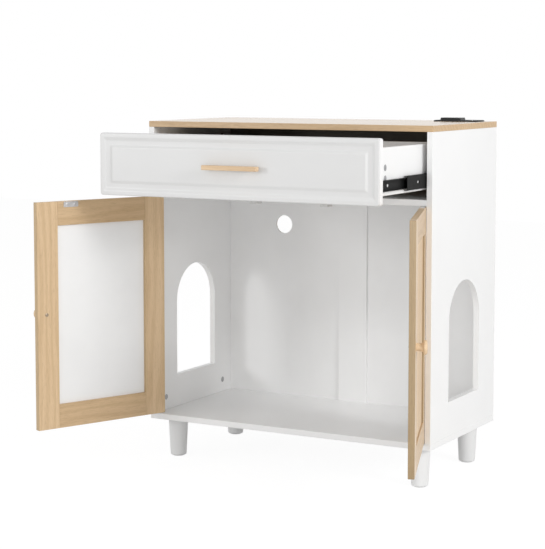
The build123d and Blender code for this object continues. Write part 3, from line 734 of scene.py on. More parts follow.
# Rail oak is darker than the stiles' oak. This is partly the rails' own tone and partly painted shade for the
# shadow the drawer casts on the top rail.
RAIL_LIGHT: Colour = (0.635, 0.45, 0.26)
RAIL_DARK: Colour = (0.49, 0.325, 0.17)
TOP_LIGHT: Colour = (0.66, 0.465, 0.270)
TOP_DARK: Colour = (0.51, 0.335, 0.172)
HANDLE_LIGHT: Colour = (0.79, 0.59, 0.385)
HANDLE_DARK: Colour = (0.58, 0.39, 0.22)
KNOB_LIGHT: Colour = (0.78, 0.58, 0.37)
KNOB_DARK: Colour = (0.62, 0.43, 0.245)
# Painted shade for the two doors' stile edges, on the free edge and the hinge stile's reveal; it is darker on
# the right door.
LEFT_EDGE_PAINTED_SHADE: Colour = (0.78, 0.77, 0.70)
RIGHT_EDGE_PAINTED_SHADE: Colour = (0.53, 0.52, 0.46)
FIBRE_LIGHT: Colour = (0.30, 0.215, 0.135)
FIBRE_DARK: Colour = (0.20, 0.135, 0.08)
# Near-black face for the upper back panel: painted shade for the narrow cavity above the drawer.
CAVITY_PAINTED_SHADE: Colour = (0.21, 0.19, 0.16)

# Coats: name, roughness, relief, colour, shade, how fine the peel is, and shine where it isn't plain
WHITE_BOARD = CoatedFinish("white_melamine", 0.30, 0.03, WHITE, WHITE_SHADE, 750.0)
LEG_LACQUER = CoatedFinish("white_leg_lacquer", 0.36, 0.04, (0.80, 0.80, 0.797), (0.79, 0.79, 0.787), 420.0)
BLACK_COAT = CoatedFinish("black_dipped_steel", 0.46, 0.10, even(0.007), even(0.010), 1400.0, 0.10)
BLACK_MOULDED = CoatedFinish("black_moulded_plastic", 0.46, 0.35, even(0.012), even(0.016), 2600.0, 0.16)
BLACK_GLOSS = CoatedFinish("black_polished_plastic", 0.22, 0.05, even(0.010), even(0.014), 900.0, 0.3)
CATCH_MOULDED = CoatedFinish("white_moulded_plastic", 0.40, 0.10, (0.74, 0.74, 0.73), (0.71, 0.71, 0.70),
                             1500.0)
GLIDE_NYLON = CoatedFinish("pale_nylon", 0.50, 0.12, (0.62, 0.62, 0.60), (0.57, 0.57, 0.55), 1200.0)
BUSH_NYLON = CoatedFinish("milky_nylon", 0.46, 0.08, (0.70, 0.69, 0.65), (0.66, 0.65, 0.61), 1200.0)

# Metals: name, roughness, relief, colour, shade, and how fine the lines are where they aren't drawn along Y
BRIGHT_STEEL = MetalFinish("bright_steel", 0.24, 0.05, (0.62, 0.62, 0.61), (0.56, 0.56, 0.55))
PLATED_STEEL = MetalFinish("plated_steel", 0.30, 0.06, (0.66, 0.66, 0.65), even(0.58), even(300.0))
# Darker steel for the strike plates and their screws: partly a duller plate, partly painted shade for the
# plate's shadowed end.
DULL_STEEL_AND_PAINTED_SHADE = MetalFinish("dull_plated_steel", 0.40, 0.06, (0.52, 0.52, 0.53), (0.46, 0.46, 0.47), even(300.0))
BALL_STEEL = MetalFinish("polished_ball_steel", 0.16, 0.02, even(0.60), even(0.55), even(200.0))
BURNISHED_STEEL = MetalFinish("burnished_steel", 0.42, 0.06, (0.40, 0.33, 0.25), (0.33, 0.27, 0.20),
                              even(300.0))
BRASS = MetalFinish("contact_brass", 0.30, 0.05, (0.70, 0.50, 0.22), (0.60, 0.42, 0.18), even(400.0))
CAST_ZINC = MetalFinish("cast_zinc", 0.42, 0.12, (0.50, 0.50, 0.51), (0.42, 0.42, 0.43), even(500.0))


def oak(name: str, turn: Triple, place: Triple = (0.0, 0.0, 0.0), light: Colour = OAK_LIGHT,
        dark: Colour = OAK_DARK, roughness: float = 0.46) -> OakFinish:
    """An oak finish for one piece.

    Args:
        name: the material's name.
        turn: the turn that brings the piece's grain to X.
        place: the shift of the pattern, so that two pieces differ.
        light: the pale wood.
        dark: the wood of the growth lines.
        roughness: the lacquer's roughness.

    Returns:
        The finish.
    """
    return OakFinish(name, roughness, OAK_RELIEF, light, dark, turn, place)


# Surfaces


def grid_quads(rows: int, columns: int, wrap: bool) -> np.ndarray:
    """The faces of a grid of points, row after row.

    Args:
        rows: the number of rows.
        columns: the number of points in a row.
        wrap: joins each row's end to its start.

    Returns:
        An array of four point numbers for each face.
    """
    across = columns if wrap else columns - 1
    row, column = np.meshgrid(np.arange(rows - 1), np.arange(across), indexing="ij")
    after = (column + 1) % columns
    corners = (row * columns + column, row * columns + after,
               (row + 1) * columns + after, (row + 1) * columns + column)
    return np.stack([corner.ravel() for corner in corners], axis=1)


def repeated(faces: np.ndarray, points_each: int, copies: int) -> np.ndarray:
    """The faces of several copies of one grid.

    Args:
        faces: the faces of one copy.
        points_each: the number of points of one copy.
        copies: the number of copies.

    Returns:
        The faces of all of them.
    """
    shift = np.arange(copies)[:, None, None] * points_each
    return (faces[None] + shift).reshape(-1, faces.shape[1])


def sideways(signs: np.ndarray) -> np.ndarray:
    """Ways along X, one for each sign."""
    return np.stack([signs, 0.0 * signs, 0.0 * signs], axis=1)


def smooth_step(value: np.ndarray) -> np.ndarray:
    """A step from 0 to 1 with level ends: 3v² - 2v³ of the value held from 0 to 1."""
    held = np.clip(value, 0.0, 1.0)
    return held * held * (3.0 - 2.0 * held)


@dataclass
class Piece:
    """One new piece: its name, its finish, the body it rides on and the slot it stands for, which is not
    used.
    """

    name: str
    finish: Finish
    body: str
    slot: str
    sharp_deg: float = 40.0

    def build(self, points: np.ndarray, faces: np.ndarray,
              stands_for: Sequence[str] = ()) -> bpy.types.Object:
        """Makes the mesh, joins its seams and poles and turns its faces outwards.

        Args:
            points: the points, one to a row.
            faces: the faces, as point numbers.
            stands_for: the nodes that it replaces.

        Returns:
            The object.
        """
        mesh = bpy.data.meshes.new(self.name)
        mesh.from_pydata(points.reshape(-1, 3).tolist(), [], faces.tolist())
        shell = bmesh.new()
        shell.from_mesh(mesh)
        bmesh.ops.remove_doubles(shell, verts=shell.verts, dist=MERGE_DISTANCE)
        bmesh.ops.dissolve_degenerate(shell, edges=shell.edges, dist=THIN_DISTANCE)
        bmesh.ops.recalc_face_normals(shell, faces=shell.faces)
        shell.to_mesh(mesh)
        shell.free()
        mesh.polygons.foreach_set("use_smooth", np.ones(len(mesh.polygons), dtype=bool))
        mesh.set_sharp_from_angle(angle=math.radians(self.sharp_deg))
        piece = bpy.data.objects.new(self.name, mesh)
        bpy.context.scene.collection.objects.link(piece)
        mesh.materials.append(self.finish.material())
        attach(piece, self.body)
        if stands_for:
            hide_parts(*stands_for)
        LOG.info("%s: %d faces on %s", self.name, len(mesh.polygons), self.body)
        return piece


@dataclass(frozen=True)
class CrossHead:
    """A screw head with a cross recess.

    Height over the seat at radius r is rim + dome (1 - (r / radius)²), less the recess depth where the
    point lies in either arm of the cross. The recess gets shallower towards the ends of its arms.
    """

    radius: float
    rim: float
    dome: float
    arm_width: float
    arm_reach: float
    depth: float
    soft_share: float = 0.12
    taper: float = 0.45
    foot_share: float = 1.02
    rings: int = 26
    steps: int = 64

    def points(self, seats: np.ndarray, normals: np.ndarray) -> np.ndarray:
        """The points of a head on each seat.

        Args:
            seats: the middle of each head's seat.
            normals: the level way that each head faces.

        Returns:
            The points, head after head.
        """
        reach = np.concatenate([np.linspace(0.0, self.radius, self.rings),
                                [self.radius * self.foot_share, 0.0]])
        turn = np.linspace(0.0, FULL_TURN, self.steps, endpoint=False)
        ring, angle = np.meshgrid(reach, turn, indexing="ij")
        across, along = ring * np.cos(angle), ring * np.sin(angle)
        soft = self.soft_share * self.arm_width

        def arm(one: np.ndarray, other: np.ndarray) -> np.ndarray:
            """One arm of the cross: 1 inside its width and reach, 0 outside."""
            inside = smooth_step((self.arm_width / 2 - np.abs(one)) / soft + 0.5)
            return inside * smooth_step((self.arm_reach - np.abs(other)) / (2 * soft) + 0.5)

        cross = np.maximum(arm(across, along), arm(along, across))
        pit = np.clip(cross * (1.0 - self.taper * ring / self.arm_reach), 0.0, 1.0)
        rise = self.rim + self.dome * (1.0 - (ring / self.radius) ** 2) - self.depth * pit
        rise[-2:] = 0.0
        up = np.array(UPWARD)
        sides = np.cross(up, normals)
        grid = np.stack([across, along, rise], axis=-1).reshape(1, -1, 3)
        return (seats[:, None] + grid[..., :1] * sides[:, None] + grid[..., 1:2] * up
                + grid[..., 2:] * normals[:, None]).reshape(-1, 3)

    def faces(self, count: int) -> np.ndarray:
        """The faces of that many heads.

        Args:
            count: the number of heads.

        Returns:
            The faces.
        """
        rows = self.rings + 2
        return repeated(grid_quads(rows, self.steps, True), rows * self.steps, count)


def rounded_loop(width: float, depth: float, radius: float, steps: int) -> Tuple[np.ndarray, np.ndarray]:
    """A rounded rectangle about the origin.

    Each corner is a quarter circle of the radius about a middle set in from the corner by the radius.

    Args:
        width: its size along X.
        depth: its size along Y.
        radius: the corner radius.
        steps: the points of each corner.

    Returns:
        The points and their outward ways, both as X and Y.
    """
    corner = np.linspace(0.0, QUARTER_TURN, steps)
    angle = np.concatenate([corner + quarter * QUARTER_TURN for quarter in range(4)])
    signs = np.repeat(np.array([[1, 1], [-1, 1], [-1, -1], [1, -1]], float), steps, axis=0)
    out = np.stack([np.cos(angle), np.sin(angle)], axis=1)
    middle = signs * np.array([width / 2 - radius, depth / 2 - radius])
    return middle + radius * out, out


def loop_bead(width: float, depth: float, radius: float, bead: np.ndarray,
              steps: int = 8) -> Tuple[np.ndarray, np.ndarray]:
    """A closed profile carried round a rounded rectangle.

    Args:
        width: the loop's size along X.
        depth: its size along Y.
        radius: its corner radius.
        bead: the profile, as distance outwards and height.
        steps: the points of each corner.

    Returns:
        The points and the faces.
    """
    loop, out = rounded_loop(width, depth, radius, steps)
    flat = loop[:, None] + out[:, None] * bead[None, :, :1]
    rise = np.broadcast_to(bead[None, :, 1:], flat.shape[:2] + (1,))
    points = np.concatenate([flat, rise], axis=-1)
    closed = np.concatenate([points, points[:1]])
    return closed.reshape(-1, 3), grid_quads(len(closed), len(bead), True)


def soft_bars(middles: np.ndarray, halves: np.ndarray, steps: int = 12) -> Tuple[np.ndarray, np.ndarray]:
    """Small bars with soft edges.

    Each is a ball whose sines and cosines are raised to a fifth, keeping their signs, which makes it
    nearly a box, stretched to its half sizes.

    Args:
        middles: the middle of each bar.
        halves: the half sizes of each bar.
        steps: the rows of the ball; a row has twice as many points.

    Returns:
        The points and the faces.
    """
    def squared(value: np.ndarray) -> np.ndarray:
        """The value's size raised to a fifth, with its sign."""
        return np.sign(value) * np.abs(value) ** BAR_POWER

    rise, turn = np.meshgrid(np.linspace(-QUARTER_TURN, QUARTER_TURN, steps),
                             np.linspace(0.0, FULL_TURN, 2 * steps, endpoint=False), indexing="ij")
    level = squared(np.cos(rise))
    ball = np.stack([level * squared(np.cos(turn)), level * squared(np.sin(turn)), squared(np.sin(rise))],
                    axis=-1).reshape(1, -1, 3)
    points = middles[:, None] + ball * halves[:, None]
    return points.reshape(-1, 3), repeated(grid_quads(steps, 2 * steps, True), ball.shape[1], len(middles))


# Sub-assemblies


@dataclass
class SubAssembly:
    """A part of the enclosure whose solids get their finishes together."""

    nodes: Dict[str, bpy.types.Object]

    def wear(self, finish: Finish, *names: str) -> None:
        """Puts a finish on solids.

        Args:
            finish: the finish.
            names: the solids' names.
        """
        made = finish.material()
        for name in names:
            for slot in self.nodes[name].material_slots:
                slot.material = made
            LOG.info("%s wears %s", name, finish.name)


@dataclass
class Carcass(SubAssembly):
    """The boards, legs and fittings of the cabinet."""

    back_middle_y: float = 0.3575
    edge_round: float = 0.0006
    top_grain: Triple = (0.2, 0.35, 0.0)

    def dress(self) -> None:
        """Gives the boards, legs and fittings their finishes."""
        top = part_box("top_board")[1].z
        self.wear(OakFinish("oak_top", 0.36, OAK_RELIEF, TOP_LIGHT, TOP_DARK, Grain.ALONG_X.value,
                            self.top_grain, coat=1.0, coat_over=top - self.edge_round), "top_board")
        self.wear(WHITE_BOARD, "left_side_panel", "right_side_panel", "bottom_board", "divider_board",
                  "back_stile")
        self.wear(HardboardFinish("faced_hardboard", 0.45, 0.06, FIBRE_LIGHT, FIBRE_DARK,
                                  level=self.back_middle_y, face=WHITE),
                  "left_back_panel", "right_back_panel")
        # The upper back panel's near-black face is painted shade for the dark cavity above the drawer.
        self.wear(HardboardFinish("sealed_hardboard", 0.6, 0.12, FIBRE_LIGHT, FIBRE_DARK,
                                  level=self.back_middle_y, face=CAVITY_PAINTED_SHADE), "upper_back_panel")
        self.wear(LEG_LACQUER, "front_left_leg", "front_right_leg", "back_left_leg", "back_right_leg")
        self.wear(GLIDE_NYLON, "leg_glides")
        self.wear(PLATED_STEEL, "leg_bolts", "cabinet_cam_bolts")
        self.wear(CAST_ZINC, "cabinet_cam_locks")
        self.wear(CATCH_MOULDED, "left_magnetic_catch", "right_magnetic_catch")
        self.wear(BUSH_NYLON, "pivot_bushings")


@dataclass
class Drawer(SubAssembly):
    """The drawer: its moulded front, box, handle and fittings."""

    border: float = 0.0095
    outer_slope: float = 0.0105
    groove_floor: float = 0.0085
    field_slope: float = 0.0085
    groove_depth: float = 0.0024
    edge_round: float = 0.003
    corner_round: float = 0.006
    corner_soft: float = 0.004
    round_lines: int = 7
    fine_step: float = 0.0006
    coarse_step: float = 0.012
    handle_grain: Triple = (0.7, 0.11, 0.05)
    handle_pitch: float = 0.096
    handle_z: float = 0.7865
    back_screw_z: Tuple[float, float] = (0.7816, 0.8256)
    handle_head: CrossHead = CrossHead(radius=0.0040, rim=0.0011, dome=0.0009, arm_width=0.0013,
                                       arm_reach=0.0024, depth=0.0011)
    back_head: CrossHead = CrossHead(radius=0.0036, rim=0.0001, dome=0.0002, arm_width=0.0012,
                                     arm_reach=0.0022, depth=0.0002)

    def dress(self) -> None:
        """Gives the drawer's solids their finishes."""
        self.wear(WHITE_BOARD, "drawer_left_side", "drawer_right_side", "drawer_back", "drawer_bottom")
        self.wear(oak("oak_handle", Grain.ALONG_X.value, self.handle_grain, HANDLE_LIGHT, HANDLE_DARK,
                      roughness=0.42), "drawer_handle")
        self.wear(PLATED_STEEL, "drawer_cam_bolts")
        self.wear(CAST_ZINC, "drawer_cam_locks")

    def build(self) -> None:
        """Makes the moulded front, which stands for the plain one, and the screw heads."""
        low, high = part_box("drawer_front")
        across = self.stations(low.x, high.x)
        up = self.stations(low.z, high.z)
        points, faces = self.front_surface(across, up, low.y, high.y)
        # The front's grey face is painted shade; its ends and back keep the board's white.
        lacquer = PressedFrontFinish("white_satin_lacquer", 0.34, 0.04, LACQUER_PAINTED_SHADE, LACQUER_PAINTED_SHADE_MOTTLE, 420.0,
                                     level=low.y + self.edge_round, board=WHITE)
        Piece("drawer_front_moulded", lacquer, "drawer", "white_lacquer", SOFT_SHARP_DEG).build(
            points, faces, ["drawer_front"])
        self.build_screws(high.y)

    def build_screws(self, inside: float) -> None:
        """Makes the heads of the handle's screws and of the screws that hold the back.

        Args:
            inside: Y of the front's inner face.
        """
        signs = np.array([-1.0, 1.0])
        seats = np.array([[sign * self.handle_pitch / 2, inside, self.handle_z] for sign in signs])
        pans = self.handle_head.points(seats, np.repeat([BACKWARD], len(seats), axis=0))
        signs = np.repeat(signs, len(self.back_screw_z))
        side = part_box("drawer_right_side")[1].x
        low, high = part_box("drawer_back")
        depths = np.full(len(signs), (low.y + high.y) / 2)
        flats = self.back_head.points(
            np.stack([signs * side, depths, np.tile(self.back_screw_z, 2)], axis=1), sideways(signs))
        faces = np.concatenate([self.handle_head.faces(len(seats)),
                                self.back_head.faces(len(signs)) + len(pans)])
        Piece("drawer_screw_heads", PLATED_STEEL, "drawer", "plated_steel").build(
            np.concatenate([pans, flats]), faces, ["drawer_screws"])

    def stations(self, start: float, end: float) -> np.ndarray:
        """Grid lines from start to end, close together over the moulding and wide apart between.

        Args:
            start: the first line.
            end: the last line.

        Returns:
            The lines' places.
        """
        band = self.border + self.outer_slope + self.groove_floor + self.field_slope + 2 * self.corner_soft
        round_part = self.edge_round * (1 - np.cos(np.linspace(0.0, QUARTER_TURN, self.round_lines)))
        near = np.concatenate([round_part, np.arange(self.edge_round + self.fine_step, band, self.fine_step)])
        count = int(np.ceil((end - start - 2 * band) / self.coarse_step)) + 1
        middle = np.linspace(start + band, end - band, count)
        return np.concatenate([start + near, middle, end - near[::-1]])

    def relief(self, inset: np.ndarray) -> np.ndarray:
        """How far the face lies back at a distance in from the front's edge.

        A quarter round at the edge, then a smooth step down by the groove's depth after the border, and
        a smooth step up again after the groove's floor.

        Args:
            inset: the distance in from the edge.

        Returns:
            The depth behind the foremost plane.
        """
        held = np.clip(self.edge_round - inset, 0.0, self.edge_round)
        rounding = self.edge_round - np.sqrt(self.edge_round ** 2 - held ** 2)
        floor = self.border + self.outer_slope
        down = smooth_step((inset - self.border) / self.outer_slope)
        rise = smooth_step((inset - floor - self.groove_floor) / self.field_slope)
        return rounding + self.groove_depth * (down - rise)

    def rounded_corners(self, flat: np.ndarray) -> np.ndarray:
        """Draws the front's four corners in to quarter circles.

        In a square of the corner radius, a point's offset from the square's inner corner is scaled by its
        larger part over its length. That takes the square's two outer sides to a quarter circle.

        Args:
            flat: the grid's points, as X and Z.

        Returns:
            The points with the corners drawn in.
        """
        middle = (flat[0, 0] + flat[-1, -1]) / 2
        offset = flat - middle
        over = np.clip(np.abs(offset) - (flat[-1, -1] - middle - self.corner_round), 0.0, None)
        length = np.maximum(np.hypot(over[..., 0], over[..., 1]), NO_LENGTH)
        share = np.where(over.min(axis=-1) > 0.0, over.max(axis=-1) / length, 1.0)
        return middle + offset - np.sign(offset) * over * (1.0 - share[..., None])

    def front_surface(self, across: np.ndarray, up: np.ndarray, face: float,
                      back: float) -> Tuple[np.ndarray, np.ndarray]:
        """The front as one closed grid: the relief over X and Z, with the back as its second sheet.

        The distance in from the edge is a soft minimum of the distances to the four edges, so the mitres
        of the moulding are slightly rounded, as a router leaves them.

        Args:
            across: the grid lines along X.
            up: the grid lines along Z.
            face: Y of the foremost plane.
            back: Y of the back.

        Returns:
            The points and the faces.
        """
        x, z = np.meshgrid(across, up, indexing="ij")
        from_side = np.minimum(x - across[0], across[-1] - x)
        from_end = np.minimum(z - up[0], up[-1] - z)
        near = np.clip(self.corner_soft - np.abs(from_side - from_end), 0.0, None) / self.corner_soft
        inset = np.minimum(from_side, from_end) - near ** 2 * self.corner_soft / 4
        depth = face + self.relief(np.clip(inset, 0.0, None))
        drawn = self.rounded_corners(np.stack([x, z], axis=-1))
        front = np.stack([drawn[..., 0], depth, drawn[..., 1]], axis=-1)
        rim = np.concatenate([front[:, 0], front[-1, 1:], front[-2::-1, -1], front[0, -2:0:-1]])
        behind = rim * np.array([1.0, 0.0, 1.0]) + np.array([0.0, back, 0.0])
        rows, columns = x.shape
        sheet = grid_quads(rows, columns, False)
        wall = grid_quads(2, len(rim), True) + rows * columns
        hub = np.array([[across.mean(), back, up.mean()]])
        hubs = np.repeat(hub, len(rim), axis=0)
        lid = grid_quads(2, len(rim), True) + rows * columns + len(rim)
        points = np.concatenate([front.reshape(-1, 3), rim, behind, hubs])
        return points, np.concatenate([sheet, wall, lid])


@dataclass
class Slides(SubAssembly):
    """The two three-section drawer slides and their screws."""

    centre_z: float = 0.754
    rib_offset: float = 0.0062
    rib_half_width: float = 0.0011
    rib_height: float = 0.0006
    rib_margin: float = 0.018
    rib_end: float = 0.006
    rib_lines: int = 90
    rib_end_lines: int = 8
    rib_steps: int = 14
    screw_shares: Triple = (0.1, 0.45, 0.9)
    screw_head: CrossHead = CrossHead(radius=0.0035, rim=0.0012, dome=0.0010, arm_width=0.0012,
                                      arm_reach=0.0021, depth=0.0012)
    sheet: float = 0.0012

    def dress(self) -> None:
        """Gives the members, cages and screws their finishes."""
        for side in Side:
            self.wear(BLACK_COAT, *(f"{side.word}_slide_{member}_member"
                                    for member in ("cabinet", "middle", "drawer")))
        self.wear(BALL_STEEL, "outer_ball_cages", "inner_ball_cages")
        self.wear(PLATED_STEEL, "cabinet_slide_screws")

    def build(self) -> None:
        """Presses two ribs into each drawer and middle member's web, and makes the screw heads."""
        self.build_screws()
        for side in Side:
            for member, body in (("drawer", "drawer"), ("middle", f"{side.word}_middle_slide")):
                node = f"{side.word}_slide_{member}_member"
                low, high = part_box(node)
                web = low.x if side is Side.RIGHT else high.x
                points, faces = self.ribs(web + self.sheet * side.value, low.y, high.y, side)
                Piece(f"{side.word}_{member}_member_ribs", BLACK_COAT, body, "black_steel").build(
                    points, faces)

    def build_screws(self) -> None:
        """Makes the pan heads of the screws that hold the drawer members."""
        low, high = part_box("right_slide_drawer_member")
        along = low.y + np.array(self.screw_shares) * (high.y - low.y)
        signs = np.repeat([-1.0, 1.0], len(along))
        heights = np.full(len(signs), self.centre_z)
        seats = np.stack([signs * (low.x + self.sheet), np.tile(along, 2), heights], axis=1)
        Piece("drawer_member_screw_heads", PLATED_STEEL, "drawer", "plated_steel").build(
            self.screw_head.points(seats, sideways(signs)), self.screw_head.faces(len(signs)),
            ["drawer_slide_screws"])

    def ribs(self, web: float, start: float, end: float, side: Side) -> Tuple[np.ndarray, np.ndarray]:
        """Two low ribs along Y on a web.

        Each is an ellipse across, half sunk in the web, carried along Y, and shrinks to a point at both
        ends with the square root of a smooth step.

        Args:
            web: X of the web's open face.
            start: Y of the member's front end.
            end: Y of its back end.
            side: the side that the slide is on.

        Returns:
            The points and the faces.
        """
        run = np.linspace(start + self.rib_margin, end - self.rib_margin, self.rib_lines)
        ends = self.rib_end * np.linspace(0.0, 1.0, self.rib_end_lines)[1:]
        run = np.sort(np.concatenate([run, run[0] + ends, run[-1] - ends]))
        size = np.sqrt(smooth_step(np.minimum(run - run[0], run[-1] - run) / self.rib_end))
        angle = np.linspace(0.0, FULL_TURN, self.rib_steps, endpoint=False)
        x = web + side.value * self.rib_height * size[:, None] * np.cos(angle)[None]
        z = self.rib_half_width * size[:, None] * np.sin(angle)[None]
        y = np.broadcast_to(run[:, None], x.shape)
        pair = [np.stack([x, y, self.centre_z + way * self.rib_offset + z], axis=-1).reshape(-1, 3)
                for way in (-1.0, 1.0)]
        faces = repeated(grid_quads(len(run), len(angle), True), len(run) * len(angle), 2)
        return np.concatenate(pair), faces


@dataclass
class Door(SubAssembly):
    """One door, open by its angle: its oak frame, white-backed panel, knob and fittings.

    Reaches are distances from the pin along the door, and depths are distances inwards from the middle of
    its thickness.
    """

    side: Side
    open_deg: float
    band_tint: Colour
    pin_x: float = 0.373
    pin_y: float = -0.0275
    half_thickness: float = 0.0075
    panel_middle: float = -0.002
    free_edge: float = 0.371
    hinge_inner: float = 0.052
    # Width of the painted shade on each stile's edge face.
    band: float = 0.0012
    stile_coat: float = 0.42
    grain_shift: float = 0.37
    free_stile_grain: Triple = (0.0, 0.21, 0.4)
    hinge_stile_grain: Triple = (0.6, 0.47, 0.1)
    top_rail_grain: Triple = (0.0, 0.13, 0.2)
    bottom_rail_grain: Triple = (1.1, 0.33, 0.7)
    panel_grain: Triple = (0.0, 0.6, 0.5)
    knob_grain: Triple = (0.0, 0.02, 0.3)
    strike_reaches: Tuple[float, float] = (0.262, 0.284)
    strike_z: float = 0.683
    plate: float = 0.0012
    strike_head: CrossHead = CrossHead(radius=0.0027, rim=0.0002, dome=0.0003, arm_width=0.0009,
                                       arm_reach=0.0016, depth=0.0004)
    knob_reach: float = 0.3455
    knob_z: float = 0.4100
    knob_stem: float = 0.016
    knob_head: float = 0.010
    knob_crown: float = 0.0012
    knob_cove: float = 0.0025
    knob_waist: float = 0.0012
    knob_stem_radius: float = 0.010
    knob_radius: float = 0.0165
    knob_steps: int = 72
    knob_face_lines: int = 14
    knob_edge_lines: int = 15
    knob_cove_lines: int = 8
    knob_screw_head: CrossHead = CrossHead(radius=0.0045, rim=0.0011, dome=0.0009, arm_width=0.0014,
                                           arm_reach=0.0026, depth=0.0012)

    @property
    def body(self) -> str:
        """The body that the door rides on."""
        return f"{self.side.word}_door"

    @property
    def pin(self) -> np.ndarray:
        """The foot of the pin's axis."""
        return np.array([self.side.value * self.pin_x, self.pin_y, 0.0])

    @property
    def along(self) -> np.ndarray:
        """The way along the door from its pin."""
        turn = math.radians(self.open_deg)
        return np.array([-self.side.value * math.cos(turn), -math.sin(turn), 0.0])

    @property
    def inward(self) -> np.ndarray:
        """The way its inner face looks."""
        turn = math.radians(self.open_deg)
        return np.array([-self.side.value * math.sin(turn), math.cos(turn), 0.0])

    @property
    def level_grain(self) -> Triple:
        """The turn that brings grain along the door to the pattern's X."""
        return (0.0, 0.0, -math.atan2(self.along[1], self.along[0]))

    def spot(self, reach: float, depth: float, height: float) -> np.ndarray:
        """A place on the door.

        Args:
            reach: the distance from the pin along the door.
            depth: the distance inwards from the middle of its thickness.
            height: Z.

        Returns:
            The place.
        """
        return self.pin + reach * self.along + depth * self.inward + height * np.array(UPWARD)

    def shifted(self, grain: Triple) -> Triple:
        """The grain's place on a piece of this door, so that the two doors differ."""
        return (grain[0] + self.grain_shift * self.side.value, grain[1], grain[2])

    def dress(self) -> None:
        """Gives the frame, panel and fittings their finishes."""
        word = self.side.word
        # Past each stile's edge, over the band's width, the stile gets that door's painted shade.
        base = float(self.pin @ self.along) - self.band
        for stile, edge, grain in (("free", self.free_edge, self.free_stile_grain),
                                   ("hinge", self.hinge_inner, self.hinge_stile_grain)):
            self.wear(EdgedOakFinish(f"oak_{word}_{stile}_stile", 0.46, OAK_RELIEF, OAK_LIGHT, OAK_DARK,
                                     Grain.ALONG_Z.value, self.shifted(grain), coat=self.stile_coat,
                                     way=tuple(self.along), level=base + edge, tint=self.band_tint),
                      f"{word}_door_{stile}_stile")
        for rail, grain in (("top", self.top_rail_grain), ("bottom", self.bottom_rail_grain)):
            self.wear(oak(f"oak_{word}_{rail}_rail", self.level_grain, self.shifted(grain), RAIL_LIGHT,
                          RAIL_DARK), f"{word}_door_{rail}_rail")
        middle = self.pin + self.panel_middle * self.inward
        self.wear(TwoFacedFinish(f"{word}_door_board", 0.45, 0.14, OAK_LIGHT, OAK_DARK, Grain.ALONG_Z.value,
                                 self.shifted(self.panel_grain), way=tuple(-self.inward),
                                 level=float(-self.inward @ middle), white=WHITE), f"{word}_door_panel")
        self.wear(DULL_STEEL_AND_PAINTED_SHADE, f"{word}_door_strike_plate")
        self.wear(PLATED_STEEL, f"{word}_door_pivots")

    def build(self) -> None:
        """Makes the knob, its screw's head and the heads of the strike plate's two screws."""
        word = self.side.word
        seat = self.spot(self.knob_reach, self.half_thickness, self.knob_z)[None]
        Piece(f"{word}_knob_screw_head", BURNISHED_STEEL, self.body, "plated_steel").build(
            self.knob_screw_head.points(seat, self.inward[None]), self.knob_screw_head.faces(1),
            [f"{word}_door_knob_screw"])
        self.build_knob()
        face = self.half_thickness + self.plate
        seats = np.stack([self.spot(reach, face, self.strike_z) for reach in self.strike_reaches])
        ways = np.repeat(self.inward[None], len(seats), axis=0)
        Piece(f"{word}_strike_screw_heads", DULL_STEEL_AND_PAINTED_SHADE, self.body, "plated_steel").build(
            self.strike_head.points(seats, ways), self.strike_head.faces(len(seats)))

    def build_knob(self) -> None:
        """Makes the turned knob, which stands for the plain one.

        Its outline is turned about the knob's axis: a stem with a sine waist, a cove out to the head, a
        half round edge and a face that rises by a parabola to the middle.
        """
        share = np.linspace(0.0, 1.0, self.knob_face_lines)
        arc = np.linspace(-QUARTER_TURN, QUARTER_TURN, self.knob_edge_lines)
        cove = np.linspace(0.0, QUARTER_TURN, self.knob_cove_lines)
        edge = (self.knob_head - self.knob_crown) / 2
        rim = self.knob_radius - edge
        top = self.knob_stem + self.knob_head
        out = np.concatenate([[0.0], share * (self.knob_stem - self.knob_cove),
                              self.knob_stem - self.knob_cove + self.knob_cove * np.sin(cove),
                              self.knob_stem + edge + edge * np.sin(arc),
                              top - self.knob_crown * (1.0 - share) ** 2])
        reach = np.concatenate([[0.0], self.knob_stem_radius - self.knob_waist * np.sin(math.pi * share),
                                self.knob_stem_radius + self.knob_cove * (1.0 - np.cos(cove)),
                                rim + edge * np.cos(arc), rim * (1.0 - share)])
        turn = np.linspace(0.0, FULL_TURN, self.knob_steps, endpoint=False)
        ring, angle = np.meshgrid(reach, turn, indexing="ij")
        rise = np.broadcast_to(out[:, None], ring.shape)
        seat = self.spot(self.knob_reach, -self.half_thickness, self.knob_z)
        points = seat + (ring * np.cos(angle))[..., None] * self.along - rise[..., None] * self.inward
        points[..., 2] += ring * np.sin(angle)
        word = self.side.word
        finish = oak(f"oak_{word}_knob", self.level_grain, self.shifted(self.knob_grain), KNOB_LIGHT,
                     KNOB_DARK, roughness=0.42)
        Piece(f"{word}_knob_turned", finish, self.body, "oak", SOFT_SHARP_DEG).build(
            points.reshape(-1, 3), grid_quads(len(reach), len(turn), True), [f"{word}_door_knob"])


